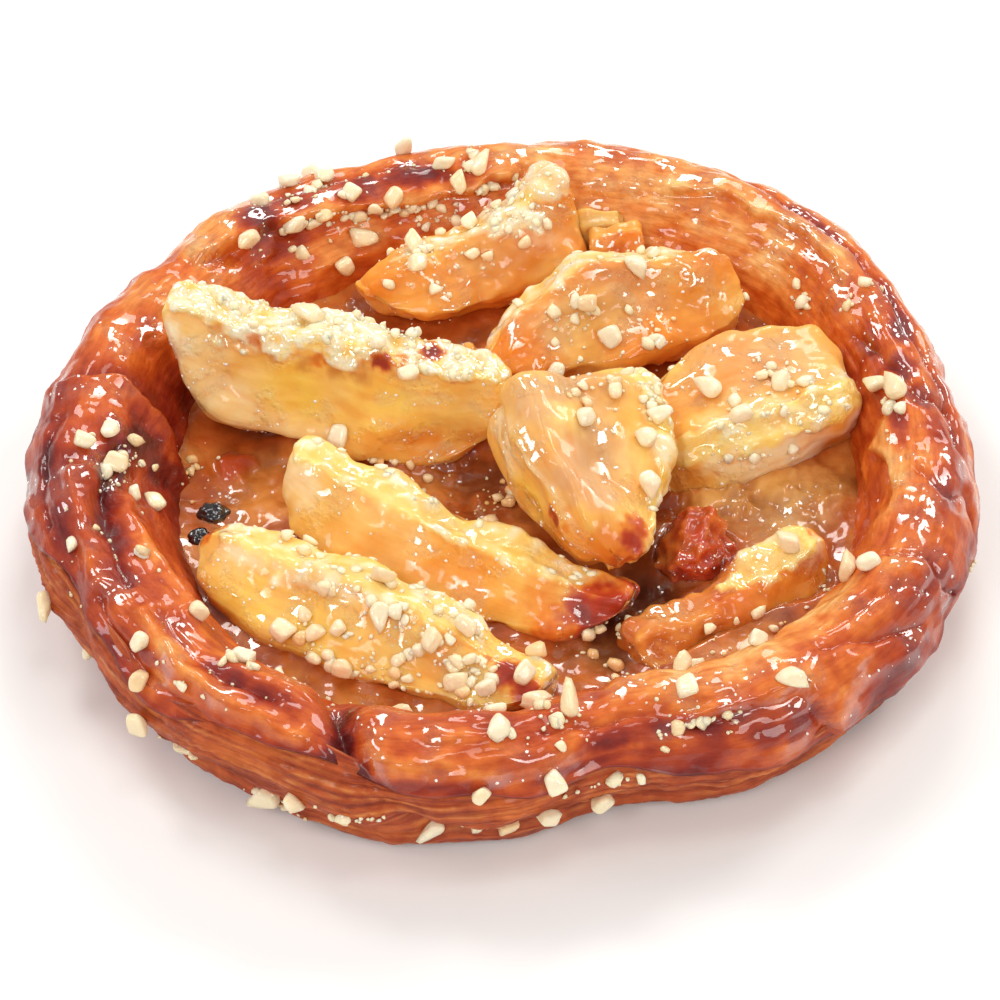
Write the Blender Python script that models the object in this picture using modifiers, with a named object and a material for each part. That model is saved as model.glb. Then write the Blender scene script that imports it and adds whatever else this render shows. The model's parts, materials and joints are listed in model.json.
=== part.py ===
# A small open apple tart: a rolled puff-pastry case, cream filling, eight roasted apple
# slices, three bits of apple and chopped nuts. Metres, +Z up. The origin is the middle of
# the flat underside.

import random
from math import atan2, cos, degrees, exp, hypot, pi, radians, sin

import bmesh
import bpy
from mathutils import Matrix, Vector, noise
from mathutils.bvhtree import BVHTree

# The case, seen from above: a round of this radius, with bulges (direction, width, amount).
# Directions are degrees round +Z from +X, and the photographed front is at -90.
TART_RADIUS = 0.0646
OUTLINE_BULGES = (
    (45, 24, 0.0026),
    (135, 38, -0.0022),
    (232, 14, 0.0009),
    (256, 9, 0.0015),
    (285, 10, -0.0042),
    (330, 22, 0.0026),
)
CENTRE_SHIFT = Vector((-0.0005, 0.0003, 0))  # brings the bulged outline's middle over the origin

# The case, cut through: a rolled rim on a thin floor.
ROLL_INSET = 0.0072  # the middle of the roll, in from the outline
ROLL_MIDDLE = 0.0118
ROLL_HEIGHT = 0.0093
ROLL_STEP = 15  # degrees between points of the roll
ROLL_END = 150
FLOOR_HEIGHT = 0.0042
BASE_LAYERS = ((0.0105, 0), (0.0076, 0.0005), (0.0050, 0.0018), (0.0038, 0.0035), (0.0043, 0.0052), (0.0020, 0.0075))
INNER_WALL = ((0.0152, 0.0140), (0.0163, 0.0112), (0.0174, 0.0084), (0.0190, 0.0061), (0.0222, FLOOR_HEIGHT))
TURN_STEPS = 80

# The rim's unevenness: how much wider its inner side is, how much higher, and its creases.
BAND_WIDTHS = ((-172, 30, 0.30), (0, 34, -0.10), (90, 40, 0.08))
RIM_RISES = ((60, 50, 0.0006), (-150, 40, 0.0005), (-75, 22, -0.0008), (120, 25, -0.0005))
CREASES = (
    # direction at the crest, turn from outside to inside, width, depth
    (-108.5, -8, 3.2, 0.0021),
    (-160, -13, 5.0, 0.0016),
    (172, 10, 4.0, 0.0009),
    (140, -8, 4.5, 0.0011),
    (97, 6, 5.0, 0.0007),
    (14, 5, 5.0, 0.0009),
    (-42, -16, 5.0, 0.0010),
    (-77, 5, 4.5, 0.0008),
)
LUMP_SIZE = 0.013
LUMP_DEPTH = 0.0009

# The edge of an overlapping layer, low on the outside, that rises and falls along the rim.
LAYER_EDGE_DEPTH = 0.0011
LAYER_EDGE_WIDTH = 0.0011
LAYER_EDGE_HEIGHT = 0.0066
LAYER_EDGE_WAVE = 0.0012
LAYER_EDGE_WAVES = 3
LAYER_EDGE_START = 40

# Where the unevenness fades out: heights above the ground and insets from the outline.
RELIEF_FROM_HEIGHT = (0.0008, 0.0060)
RELIEF_TO_INSET = (0.020, 0.014)
RISE_FROM_HEIGHT = (0.006, 0.020)
BULGES_TO_INSET = (TART_RADIUS - 0.004, TART_RADIUS - 0.022)

# The cream filling's top, which is level at the wall, dips inside it and is stirred up there.
FILLING_LEVEL = 0.0094
FILLING_DIP = 0.0014
FILLING_WAVE = 0.0010
FILLING_WAVE_SIZE = 0.011
DIP_TO_RADIUS = (0.72, 0.55)  # shares of the tart's radius
WAVE_TO_RADIUS = (0.74, 0.66)
FILLING_RINGS = (1, 0.86, 0.50)  # shares of the top's radius that have a ring of points

GAP = 0.0003  # between touching pieces
CUT_MARGIN = 0.00052  # how far a cutter stands out from the slice that it is made from

# Apple slices and bits, in the order that they lie: an upper one presses into those below it.
# A slice has its core edge up and its skin down before it is rolled to the side. Its sizes:
# depth from core edge to skin, angle between the cut faces, core radius, the share of the
# depth left at either end, how far either end slants, and how much the core edge and the skin
# stand higher at five even places from its left end to its right.
LEVEL = (0, 0, 0, 0, 0)
SLICES = (
    dict(name="apple_slice_d", middle=(0.0103, -0.0072, 0.0182), heading=-91, tilt=9, roll=-93,
         length=0.0330, depth=0.0240, angle=40, core=0.0045, ends=(1.0, 0.50), slants=(0.0085, 0.0030),
         ridge=LEVEL, keel=(0, 0.0003, 0.0022, 0.0042, 0.0020)),
    dict(name="apple_slice_a", middle=(-0.0230, 0.0120, 0.0166), heading=-10, tilt=4, roll=0,
         length=0.0492, depth=0.0170, angle=50, core=0.0080, ends=(0.92, 0.62), slants=(0.0050, 0),
         ridge=(0.0033, 0.0002, 0.0010, -0.0012, 0.0005), keel=(0.0020, 0.0003, -0.0006, -0.0034, -0.0020)),
    dict(name="apple_slice_h", middle=(0.0149, 0.0258, 0.0148), heading=23, tilt=-2, roll=-25,
         length=0.0410, depth=0.0150, angle=50, core=0.0070, ends=(0.60, 0.95), slants=(0, 0),
         ridge=(-0.0050, -0.0003, 0.0017, -0.0012, -0.0015), keel=(0, 0, 0, -0.0008, -0.0010)),
    dict(name="apple_slice_g", middle=(-0.0045, 0.0405, 0.0138), heading=29, tilt=-6, roll=-18,
         length=0.0350, depth=0.0150, angle=52, core=0.0070, ends=(0.42, 0.98), slants=(0, 0),
         ridge=(0, -0.0026, -0.0030, -0.0016, 0.0014), keel=LEVEL),
    dict(name="apple_slice_e", middle=(0.0345, 0.0070, 0.0117), heading=-155, tilt=2, roll=-46,
         length=0.0295, depth=0.0185, angle=78, core=0.0040, ends=(0.86, 0.75), slants=(-0.0040, 0),
         ridge=(-0.0014, 0.0008, 0.0006, -0.0018, -0.0040), keel=(0.0010, 0, 0, 0, 0.0010)),
    dict(name="apple_slice_b", middle=(-0.0057, -0.0166, 0.0114), heading=-27, tilt=1, roll=-8,
         length=0.0510, depth=0.0160, angle=50, core=0.0070, ends=(0.80, 0.50), slants=(0, 0),
         ridge=(0.0012, -0.0022, -0.0042, -0.0046, -0.0020), keel=LEVEL),
    dict(name="apple_slice_c", middle=(-0.0168, -0.0300, 0.0112), heading=-29, tilt=1, roll=-22,
         length=0.0520, depth=0.0160, angle=52, core=0.0070, ends=(0.68, 0.60), slants=(0, 0),
         ridge=(-0.0014, -0.0028, -0.0016, -0.0034, -0.0025), keel=(0, 0, 0.0005, 0.0010, 0)),
    dict(name="apple_slice_f", middle=(0.0300, -0.0250, 0.0090), heading=32, tilt=-2, roll=-8,
         length=0.0310, depth=0.0140, angle=50, core=0.0070, ends=(0.60, 0.80), slants=(0, 0),
         ridge=(-0.0010, -0.0044, -0.0048, -0.0034, 0.0005), keel=LEVEL),
    dict(name="apple_chunk_a", middle=(0.0172, 0.0428, 0.0138), heading=10, tilt=0, roll=-10,
         length=0.0080, depth=0.0078, angle=50, core=0.0036, ends=(0.80, 0.80), slants=(0, 0),
         ridge=LEVEL, keel=LEVEL),
    dict(name="apple_chunk_c", middle=(0.0148, 0.0470, 0.0148), heading=5, tilt=0, roll=20,
         length=0.0070, depth=0.0060, angle=50, core=0.0036, ends=(0.80, 0.80), slants=(0, 0),
         ridge=LEVEL, keel=LEVEL),
    dict(name="apple_chunk_b", middle=(0.0262, -0.0150, 0.0090), heading=-105, tilt=0, roll=0,
         length=0.0110, depth=0.0090, angle=66, core=0.0030, ends=(0.85, 0.60), slants=(0, 0),
         ridge=LEVEL, keel=LEVEL),
)
SLICE_SECTIONS = 13
SLICE_END = 0.988  # the share of the half length at which a slice is closed
CRUMBLE = 0.0007  # roughness of the core edge

# Chopped nuts: heaps (x, y, spread, count) and a row along the outside of the front.
NUT_HEAPS = (
    (-0.022, -0.036, 0.0070, 8),
    (-0.009, -0.042, 0.0060, 8),
    (0.003, -0.043, 0.0050, 4),
    (-0.028, 0.047, 0.0075, 8),
    (-0.008, 0.052, 0.0060, 6),
    (-0.018, 0.041, 0.0060, 5),
    (-0.051, -0.010, 0.0050, 5),
    (0.023, -0.044, 0.0075, 8),
    (0.044, -0.026, 0.0050, 3),
    (0.055, 0.005, 0.0030, 3),
    (0.016, 0.027, 0.0100, 5),
    (-0.018, 0.012, 0.0100, 5),
    (0.016, -0.006, 0.0060, 5),
    (-0.002, -0.012, 0.0060, 4),
    (0.034, 0.004, 0.0060, 3),
    (0.002, -0.059, 0.0120, 5),
    (-0.040, -0.043, 0.0080, 4),
)
SIDE_NUTS = 12
SIDE_NUT_FIRST = -158
SIDE_NUT_STEP = 7.5
NUT_TRIES = 5
NUT_LENGTH = 0.0036
NUT_SUNK = 0.24  # the share of a nut's length by which its middle stands above what it lies on
NUT_SEED = 41

# Two charred drops on the left end of the front slice: middle, length.
CHARRED_DROPS = (((-0.0385, -0.0135, 0.0150), 0.0042), ((-0.0402, -0.0165, 0.0135), 0.0032))

PASTRY_COLOUR = (0.62, 0.24, 0.06)
CREAM_COLOUR = (0.62, 0.38, 0.14)
APPLE_COLOUR = (0.86, 0.58, 0.20)


def clear_scene():
    for existing in list(bpy.data.objects):
        bpy.data.objects.remove(existing)


def make_collection(name):
    collection = bpy.data.collections.new(name)
    bpy.context.scene.collection.children.link(collection)
    return collection


def make_material(name, colour, roughness):
    material = bpy.data.materials.new(name)
    material.use_nodes = True
    shader = material.node_tree.nodes["Principled BSDF"]
    shader.inputs["Base Color"].default_value = (*colour, 1)
    shader.inputs["Roughness"].default_value = roughness
    shader.inputs["Metallic"].default_value = 0
    material.diffuse_color = (*colour, 1)
    return material


def ease(low, high, value):
    share = min(1, max(0, (value - low) / (high - low)))
    return share * share * (3 - 2 * share)


def angle_bump(direction, centre, width):
    apart = (direction - centre + 180) % 360 - 180
    return exp(-((apart / width) ** 2))


def spread_over_angles(direction, bumps):
    return sum(amount * angle_bump(direction, centre, width) for centre, width, amount in bumps)


def roll_point(turn):
    inset = ROLL_INSET - ROLL_INSET * cos(radians(turn))
    return inset, ROLL_MIDDLE + ROLL_HEIGHT * sin(radians(turn))


def case_profile():
    """(inset from the outline, height) from the foot, over the rim, to the floor."""
    roll = [roll_point(turn) for turn in range(0, ROLL_END + 1, ROLL_STEP)]
    return list(BASE_LAYERS) + roll + list(INNER_WALL)


def shape_case(point):
    """Moves a point of the turned case to its place in the uneven real one."""
    direction = degrees(atan2(point.y, point.x))
    inset = TART_RADIUS - hypot(point.x, point.y)
    height = point.z
    off_axis = ease(*BULGES_TO_INSET, inset)
    inner = max(0, inset - ROLL_INSET) * off_axis
    inset += inner * spread_over_angles(direction, BAND_WIDTHS)
    # What stands out from, or is pressed into, the middle of the roll.
    across, up = inset - ROLL_INSET, height - ROLL_MIDDLE
    reach = max(hypot(across, up), 0.001)
    round_roll = degrees(atan2(up, -across))
    on_rim = ease(*RELIEF_FROM_HEIGHT, height) * ease(*RELIEF_TO_INSET, inset)
    relief = LUMP_DEPTH * noise.noise(point / LUMP_SIZE)
    for centre, turn, width, depth in CREASES:
        relief -= depth * angle_bump(direction, centre + turn * (round_roll - 90) / 90, width)
    layer_line = LAYER_EDGE_HEIGHT + LAYER_EDGE_WAVE * sin(radians(LAYER_EDGE_WAVES * direction + LAYER_EDGE_START))
    relief -= LAYER_EDGE_DEPTH * exp(-(((height - layer_line) / LAYER_EDGE_WIDTH) ** 2)) * (across < 0)
    share = relief * on_rim / reach
    inset += across * share
    height += up * share
    height += spread_over_angles(direction, RIM_RISES) * ease(*RISE_FROM_HEIGHT, height)
    radius = TART_RADIUS - inset + spread_over_angles(direction, OUTLINE_BULGES) * off_axis
    return Vector((radius * cos(radians(direction)), radius * sin(radians(direction)), height)) + CENTRE_SHIFT * off_axis


def turned_mesh(name, outline):
    """A closed mesh turned from (radius, height) points, by a Screw modifier."""
    mesh = bpy.data.meshes.new(name)
    edges = [(index, index + 1) for index in range(len(outline) - 1)]
    mesh.from_pydata([(radius, 0, height) for radius, height in outline], edges, [])
    holder = bpy.data.objects.new(name, mesh)
    bpy.context.scene.collection.objects.link(holder)
    screw = holder.modifiers.new("turn", "SCREW")
    screw.steps = TURN_STEPS
    screw.render_steps = TURN_STEPS
    screw.use_merge_vertices = True
    screw.merge_threshold = 0.00001
    turned = evaluated_mesh(holder)
    bpy.data.objects.remove(holder)
    face_outwards(turned)
    return turned


def turn_faces_outwards(shape):
    bmesh.ops.recalc_face_normals(shape, faces=shape.faces)
    if shape.calc_volume(signed=True) < 0:
        bmesh.ops.reverse_faces(shape, faces=shape.faces)


def face_outwards(mesh):
    shape = bmesh.new()
    shape.from_mesh(mesh)
    turn_faces_outwards(shape)
    shape.to_mesh(mesh)
    shape.free()


def evaluated_mesh(holder):
    graph = bpy.context.evaluated_depsgraph_get()
    return bpy.data.meshes.new_from_object(holder.evaluated_get(graph))


def add_object(name, mesh, collection, material=None):
    piece = bpy.data.objects.new(name, mesh)
    collection.objects.link(piece)
    if material:
        mesh.materials.clear()
        mesh.materials.append(material)
        mesh.shade_smooth()
        mesh.set_sharp_from_angle(angle=radians(50))
    return piece


def make_case(collection, material):
    outline = [(TART_RADIUS - inset, height) for inset, height in reversed(case_profile())]
    mesh = turned_mesh("pastry_case", [(0, FLOOR_HEIGHT)] + outline + [(0, 0)])
    for vertex in mesh.vertices:
        vertex.co = shape_case(vertex.co)
    return add_object("pastry_case", mesh, collection, material)


def hollow_outline(top_turn):
    """(radius, height) from the middle of the floor up the inside, a gap clear of the case."""
    inside = [roll_point(turn) for turn in range(top_turn, ROLL_END + 1, ROLL_STEP)] + list(INNER_WALL)
    inside.append((TART_RADIUS, FLOOR_HEIGHT))
    cleared = []
    for index, (inset, height) in enumerate(inside[:-1]):
        before = inside[max(index - 1, 0)]
        after = inside[index + 1]
        run = hypot(after[0] - before[0], after[1] - before[1])
        cleared.append((inset + GAP * (before[1] - after[1]) / run, height + GAP * (after[0] - before[0]) / run))
    outline = [(TART_RADIUS - inset, height) for inset, height in reversed(cleared)]
    return [(0, FLOOR_HEIGHT + GAP)] + outline


def make_hollow(collection):
    """The room inside the case, up past the rim, that the slices must keep to."""
    top = 0.050
    outline = hollow_outline(90)
    outline += [(outline[-1][0], top), (0, top)]
    mesh = turned_mesh("hollow", outline)
    for vertex in mesh.vertices:
        vertex.co = shape_case(vertex.co)
    face_outwards(mesh)
    return add_cutter("hollow", mesh, collection)


def add_cutter(name, mesh, collection):
    cutter = add_object(name, mesh, collection)
    cutter.hide_render = True
    cutter.display_type = "WIRE"
    return cutter


def filling_top(place):
    """Height of the cream above the ground."""
    wave = FILLING_WAVE * noise.noise(Vector((place.x, place.y, 0)) / FILLING_WAVE_SIZE + Vector((4, 2, 7)))
    far = hypot(place.x, place.y) / TART_RADIUS
    return FILLING_LEVEL - FILLING_DIP * ease(*DIP_TO_RADIUS, far) + wave * ease(*WAVE_TO_RADIUS, far)


def make_filling(collection, material):
    side = [(radius, height) for radius, height in hollow_outline(90) if height < FILLING_LEVEL - 0.0003]
    wall = side[-1][0] + 0.0004  # the wall leans out a little between the last point and the top
    rings = [(wall * share, FILLING_LEVEL) for share in FILLING_RINGS]
    mesh = turned_mesh("cream_filling", side + rings + [(0, FILLING_LEVEL)])
    for vertex in mesh.vertices:
        is_top = vertex.co.z > FILLING_LEVEL - 0.0001
        vertex.co = shape_case(vertex.co)
        if is_top:
            vertex.co.z = filling_top(vertex.co)
    return add_object("cream_filling", mesh, collection, material)


def at_share(values, share):
    """A smooth curve through values set at even places from share -1 to 1."""
    place = (share + 1) / 2 * (len(values) - 1)
    index = min(int(place), len(values) - 2)
    between = place - index
    before = values[index - 1] if index > 0 else 2 * values[0] - values[1]
    after = values[index + 2] if index + 2 < len(values) else 2 * values[-1] - values[-2]
    start, end = values[index], values[index + 1]
    first = (end - before) * between
    second = (2 * before - 5 * start + 4 * end - after) * between ** 2
    third = (3 * start - before - 3 * end + after) * between ** 3
    return start + (first + second + third) / 2


def slice_section(share, size, seed):
    """One cut across a slice: five points of skin, a cut face on each side, three of core."""
    depth, core = size["depth"], size["core"]
    end = size["ends"][0] if share < 0 else size["ends"][1]
    slant = size["slants"][0] if share < 0 else -size["slants"][1]
    fullness = (1 - abs(share) ** (4 + 8 * end)) ** 0.4
    here = depth * (1 - (1 - end) * share * share) * fullness
    half = radians(size["angle"] / 2) * (0.35 + 0.65 * fullness)
    rise = core + depth / 2 - 0.3 * (depth - here)
    ridge, keel = at_share(size["ridge"], share), at_share(size["keel"], share)
    lean = slant * share * share * here / depth
    along = share * size["length"] / 2
    points = []
    for turn in (-1, -0.55, 0, 0.55, 1):
        reach = (core + here) * (1 - 0.10 * turn ** 4)
        points.append((along + lean, reach * sin(half * turn), rise + keel - reach * cos(half * turn)))
    middle = core + here * 0.52
    flank = middle * sin(half) * 0.93, rise + (keel + ridge) / 2 - middle * cos(half)
    points.append((along + lean / 2, flank[0], flank[1]))
    for turn in (1, 0, -1):
        crumb = CRUMBLE * noise.noise(Vector((share * 5, turn * 2, seed)))
        points.append((along, core * sin(half * turn) * 0.9, rise + ridge - core * cos(half * turn) + crumb))
    points.append((along + lean / 2, -flank[0], flank[1]))
    return [Vector(point) for point in points]


def slice_mesh(size):
    """An apple slice, lofted through its sections, with its core edge up before it is rolled."""
    seed = sum(size["name"].encode())
    turned = Matrix.Rotation(radians(size["heading"]), 4, "Z") @ Matrix.Rotation(radians(size["tilt"]), 4, "Y")
    place = Matrix.Translation(size["middle"]) @ turned @ Matrix.Rotation(radians(size["roll"]), 4, "X")
    shape = bmesh.new()
    rings = []
    for index in range(SLICE_SECTIONS):
        share = SLICE_END * sin(pi * (index / (SLICE_SECTIONS - 1) - 0.5))
        section = slice_section(share, size, seed)
        rings.append([shape.verts.new(place @ point) for point in section])
    for ring, following in zip(rings, rings[1:]):
        for index in range(len(ring)):
            after = (index + 1) % len(ring)
            shape.faces.new((ring[index], following[index], following[after], ring[after]))
    shape.faces.new(rings[0])
    shape.faces.new(rings[-1])
    turn_faces_outwards(shape)
    bmesh.ops.poke(shape, faces=[face for face in shape.faces if len(face.verts) > 4])
    bmesh.ops.triangulate(shape, faces=shape.faces)
    mesh = bpy.data.meshes.new(size["name"])
    shape.to_mesh(mesh)
    shape.free()
    return mesh


def swollen(mesh, margin):
    """A copy that stands out all round by the margin, to cut what it lies on."""
    shape = bmesh.new()
    shape.from_mesh(mesh)
    shape.normal_update()
    moves = [(vertex, vertex.normal * margin) for vertex in shape.verts]
    for vertex, move in moves:
        vertex.co += move
    copy = bpy.data.meshes.new(mesh.name + "_cutter")
    shape.to_mesh(copy)
    shape.free()
    return copy


def apply_modifiers(piece):
    mesh = evaluated_mesh(piece)
    piece.modifiers.clear()
    old = piece.data
    piece.data = mesh
    bpy.data.meshes.remove(old)
    mesh.name = piece.name


def keep_largest_body(piece):
    shape = bmesh.new()
    shape.from_mesh(piece.data)
    unseen = set(shape.verts)
    bodies = []
    while unseen:
        body = {unseen.pop()}
        edge = list(body)
        while edge:
            vertex = edge.pop()
            for link in vertex.link_edges:
                other = link.other_vert(vertex)
                if other in unseen:
                    unseen.discard(other)
                    body.add(other)
                    edge.append(other)
        bodies.append(body)
    largest = max(bodies, key=len)
    loose = [vertex for vertex in shape.verts if vertex not in largest]
    bmesh.ops.delete(shape, geom=loose, context="VERTS")
    shape.to_mesh(piece.data)
    shape.free()


def add_boolean(piece, operation, other):
    """MANIFOLD, because EXACT empties pieces whose cutters barely touch them."""
    boolean = piece.modifiers.new(other.name, "BOOLEAN")
    boolean.operation = operation
    boolean.solver = "MANIFOLD"
    boolean.object = other


def cut_away(piece, cutters):
    for cutter in cutters:
        add_boolean(piece, "DIFFERENCE", cutter)


def make_slices(collection, cutters, hollow, material):
    """Every slice is kept inside the case and pressed in by those above it."""
    slices, above = [], []
    for size in SLICES:
        mesh = slice_mesh(size)
        cutter = add_cutter(size["name"] + "_cutter", swollen(mesh, CUT_MARGIN), cutters)
        piece = add_object(size["name"], mesh, collection, material)
        add_boolean(piece, "INTERSECT", hollow)
        cut_away(piece, above)
        apply_modifiers(piece)
        keep_largest_body(piece)
        slices.append(piece)
        above.append(cutter)
    return slices, above


def nut_mesh(length, rng):
    """A chip of nut: a small faceted lump, longer than it is wide."""
    shape = bmesh.new()
    bmesh.ops.create_icosphere(shape, subdivisions=1, radius=0.5)
    sides = Vector((length, length * rng.uniform(0.65, 0.95), length * rng.uniform(0.55, 0.8)))
    for vertex in shape.verts:
        vertex.co *= rng.uniform(0.82, 1.12)
        vertex.co = Vector((vertex.co.x * sides.x, vertex.co.y * sides.y, vertex.co.z * sides.z))
    mesh = bpy.data.meshes.new("nut")
    shape.to_mesh(mesh)
    shape.free()
    return mesh


def heap_ray(x, y, spread, rng):
    return Vector((rng.gauss(x, spread * 0.6), rng.gauss(y, spread * 0.6), 0.06)), Vector((0, 0, -1))


def side_ray(index, rng):
    direction = radians(SIDE_NUT_FIRST + SIDE_NUT_STEP * index + rng.uniform(-3, 3))
    outwards = Vector((cos(direction), sin(direction), 0))
    return outwards * 0.1 + Vector((0, 0, rng.uniform(0.0055, 0.0125))), -outwards


def nut_rays(rng):
    """For each nut, the rays that it may come in by: onto the heaps, then onto the outer side."""
    rays = []
    for x, y, spread, count in NUT_HEAPS:
        rays += [[heap_ray(x, y, spread, rng) for _ in range(NUT_TRIES)] for _ in range(count)]
    rays += [[side_ray(index, rng) for _ in range(NUT_TRIES)] for index in range(SIDE_NUTS)]
    return rays


def nut_place(start, way, length, trees, placed):
    """(middle, normal, piece) where a nut touches only the piece that it comes down on, or None."""
    hits = [(tree.ray_cast(start, way), piece) for piece, tree in trees.items()]
    hits = [(hit, piece) for hit, piece in hits if hit[0]]
    if not hits:
        return None
    (place, normal, _, _), owner = min(hits, key=lambda found: found[0][3])
    middle = place + normal * length * NUT_SUNK
    reach = length * 0.56
    others = [tree.find_nearest(middle)[3] for piece, tree in trees.items() if piece is not owner]
    if min(others) < reach + GAP or middle.z < reach:
        return None
    if any((middle - other).length < reach + size * 0.56 for other, size in placed):
        return None
    return middle, normal, owner


def scatter_nuts(pieces, helpers):
    """Fuses chopped nuts to whatever each comes down on, and keeps them clear of the rest."""
    rng = random.Random(NUT_SEED)
    trees = {piece: BVHTree.FromPolygons(
        [vertex.co for vertex in piece.data.vertices], [face.vertices for face in piece.data.polygons]
    ) for piece in pieces}
    placed = []
    fused = {piece: [] for piece in pieces}
    for tries in nut_rays(rng):
        length = NUT_LENGTH * rng.uniform(0.8, 1.3)
        mesh = nut_mesh(length, rng)
        turn = Matrix.Rotation(rng.uniform(0, 2 * pi), 4, "Z") @ Matrix.Rotation(rng.uniform(-0.5, 0.5), 4, "X")
        found = next(filter(None, (nut_place(start, way, length, trees, placed) for start, way in tries)), None)
        if not found:
            continue
        middle, normal, owner = found
        placed.append((middle, length))
        nut = add_cutter("nut", mesh, helpers)
        facing = Vector((0, 0, 1)).rotation_difference(normal).to_matrix().to_4x4()
        nut.matrix_world = Matrix.Translation(middle) @ facing @ turn
        fused[owner].append(nut)
    return fused


def charred_drops(helpers):
    drops = []
    for middle, length in CHARRED_DROPS:
        drop = add_cutter("charred_drop", nut_mesh(length, random.Random(7)), helpers)
        drop.matrix_world = Matrix.Translation(middle)
        drops.append(drop)
    return drops


def fuse(piece, toppings, helpers):
    """One Boolean union with all of a piece's toppings, which are then removed."""
    group = bpy.data.collections.new(piece.name + "_toppings")
    bpy.context.scene.collection.children.link(group)
    for topping in toppings:
        helpers.objects.unlink(topping)
        group.objects.link(topping)
    union = piece.modifiers.new("toppings", "BOOLEAN")
    union.operation = "UNION"
    union.solver = "MANIFOLD"
    union.operand_type = "COLLECTION"
    union.collection = group
    bpy.context.view_layer.update()
    apply_modifiers(piece)
    for topping in toppings:
        bpy.data.objects.remove(topping)
    bpy.data.collections.remove(group)
    keep_largest_body(piece)


def make_tart():
    clear_scene()
    parts = make_collection("french_apple_tart")
    cutters = make_collection("cutters")
    pastry = make_material("baked_pastry", PASTRY_COLOUR, 0.35)
    cream = make_material("baked_cream", CREAM_COLOUR, 0.30)
    apple = make_material("roasted_apple", APPLE_COLOUR, 0.30)
    case = make_case(parts, pastry)
    hollow = make_hollow(cutters)
    slices, slice_cutters = make_slices(parts, cutters, hollow, apple)
    filling = make_filling(parts, cream)
    cut_away(filling, slice_cutters)
    apply_modifiers(filling)
    keep_largest_body(filling)
    pieces = [case, filling] + slices
    toppings = scatter_nuts(pieces, cutters)
    front_slice = next(piece for piece in slices if piece.name == "apple_slice_c")
    toppings[front_slice] += charred_drops(cutters)
    for piece in pieces:
        if toppings[piece]:
            fuse(piece, toppings[piece], cutters)
        piece.data.shade_smooth()
        piece.data.set_sharp_from_angle(angle=radians(50))


make_tart()
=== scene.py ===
import json
import random
from math import cos, pi, radians, sin
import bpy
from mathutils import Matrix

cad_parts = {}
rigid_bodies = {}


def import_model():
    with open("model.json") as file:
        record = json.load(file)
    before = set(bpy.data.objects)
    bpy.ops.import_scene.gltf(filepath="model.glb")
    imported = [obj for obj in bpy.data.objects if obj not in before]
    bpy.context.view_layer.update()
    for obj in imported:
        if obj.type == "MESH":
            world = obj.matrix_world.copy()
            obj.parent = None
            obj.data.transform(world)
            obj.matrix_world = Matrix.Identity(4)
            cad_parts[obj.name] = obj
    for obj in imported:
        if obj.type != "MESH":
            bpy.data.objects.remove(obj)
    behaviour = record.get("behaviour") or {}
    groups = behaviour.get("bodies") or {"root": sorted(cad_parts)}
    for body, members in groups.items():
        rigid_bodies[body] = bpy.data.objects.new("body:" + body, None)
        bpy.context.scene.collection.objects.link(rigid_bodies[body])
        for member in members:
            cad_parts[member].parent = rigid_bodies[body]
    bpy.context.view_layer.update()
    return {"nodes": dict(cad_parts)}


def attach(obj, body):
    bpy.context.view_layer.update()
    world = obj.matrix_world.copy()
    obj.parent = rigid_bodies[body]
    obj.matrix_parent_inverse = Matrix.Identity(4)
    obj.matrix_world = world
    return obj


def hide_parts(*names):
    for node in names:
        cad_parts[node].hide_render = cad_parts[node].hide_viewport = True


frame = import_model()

from types import SimpleNamespace

import bmesh
import bpy
import numpy as np
from mathutils import Matrix, Vector, noise
from mathutils.bvhtree import BVHTree

# A small open apple tart: rolled puff-pastry rim, cream, roasted apple slices, chopped nuts.
# Metres and degrees. Directions go round +Z from +X, and the photographed front is at -90.
# A turn goes round the rim's roll: 0 is its outer side, 90 its crest, 180 its inner side.

scene = bpy.context.scene
mm = 0.001

# colours, linear
paint = {
    "layerTan": (0.51, 0.092, 0.018),
    "layerPale": (0.80, 0.30, 0.070),
    "layerDark": (0.24, 0.034, 0.008),
    "crustBrown": (0.72, 0.165, 0.020),
    "appleYellow": (0.92, 0.58, 0.145),
    "appleOrange": (0.82, 0.29, 0.036),
    "appleGold": (1.00, 0.66, 0.09),
    "applePale": (1.00, 0.92, 0.68),
    "appleCream": (0.94, 0.70, 0.23),
    "appleBeige": (0.96, 0.67, 0.31),
    "applePink": (0.75, 0.42, 0.19),
    "appleOlive": (0.50, 0.33, 0.13),
    "appleRed": (0.50, 0.050, 0.012),
    "caramel": (0.50, 0.085, 0.010),
    "burnt": (0.19, 0.012, 0.006),
    "cream": (0.54, 0.138, 0.028),
    "creamGold": (0.78, 0.31, 0.070),
    "creamOlive": (0.56, 0.33, 0.13),
    "creamGlow": (0.88, 0.50, 0.14),
    # creamDark: the cream's own darker tone, and in creamZones also painted shade of the hollows between the
    # slices
    "creamDark": (0.20, 0.055, 0.018),
    # painted shade: a near-black brown for the shaded gaps between the slices
    "gapShade": (0.075, 0.022, 0.012),
}
# crust from barely baked to burnt: (how baked, colour)
bakedColours = ((0.00, (0.95, 0.58, 0.21)), (0.20, (0.85, 0.32, 0.070)), (0.35, paint["crustBrown"]),
                (0.50, (0.55, 0.085, 0.011)), (0.65, (0.38, 0.040, 0.009)), (0.80, (0.25, 0.018, 0.009)),
                (1.00, (0.115, 0.008, 0.007)))


# small helpers

def easeBetween(low, high, value):
    share = np.clip((value - low) / (high - low), 0, 1)
    return share * share * (3 - 2 * share)


def angleBump(direction, centre, width):
    apart = (direction - centre + 180) % 360 - 180
    return np.exp(-((apart / width) ** 2))


def sumOfBumps(direction, bumps):
    return sum(amount * angleBump(direction, centre, width) for centre, width, amount in bumps)


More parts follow.
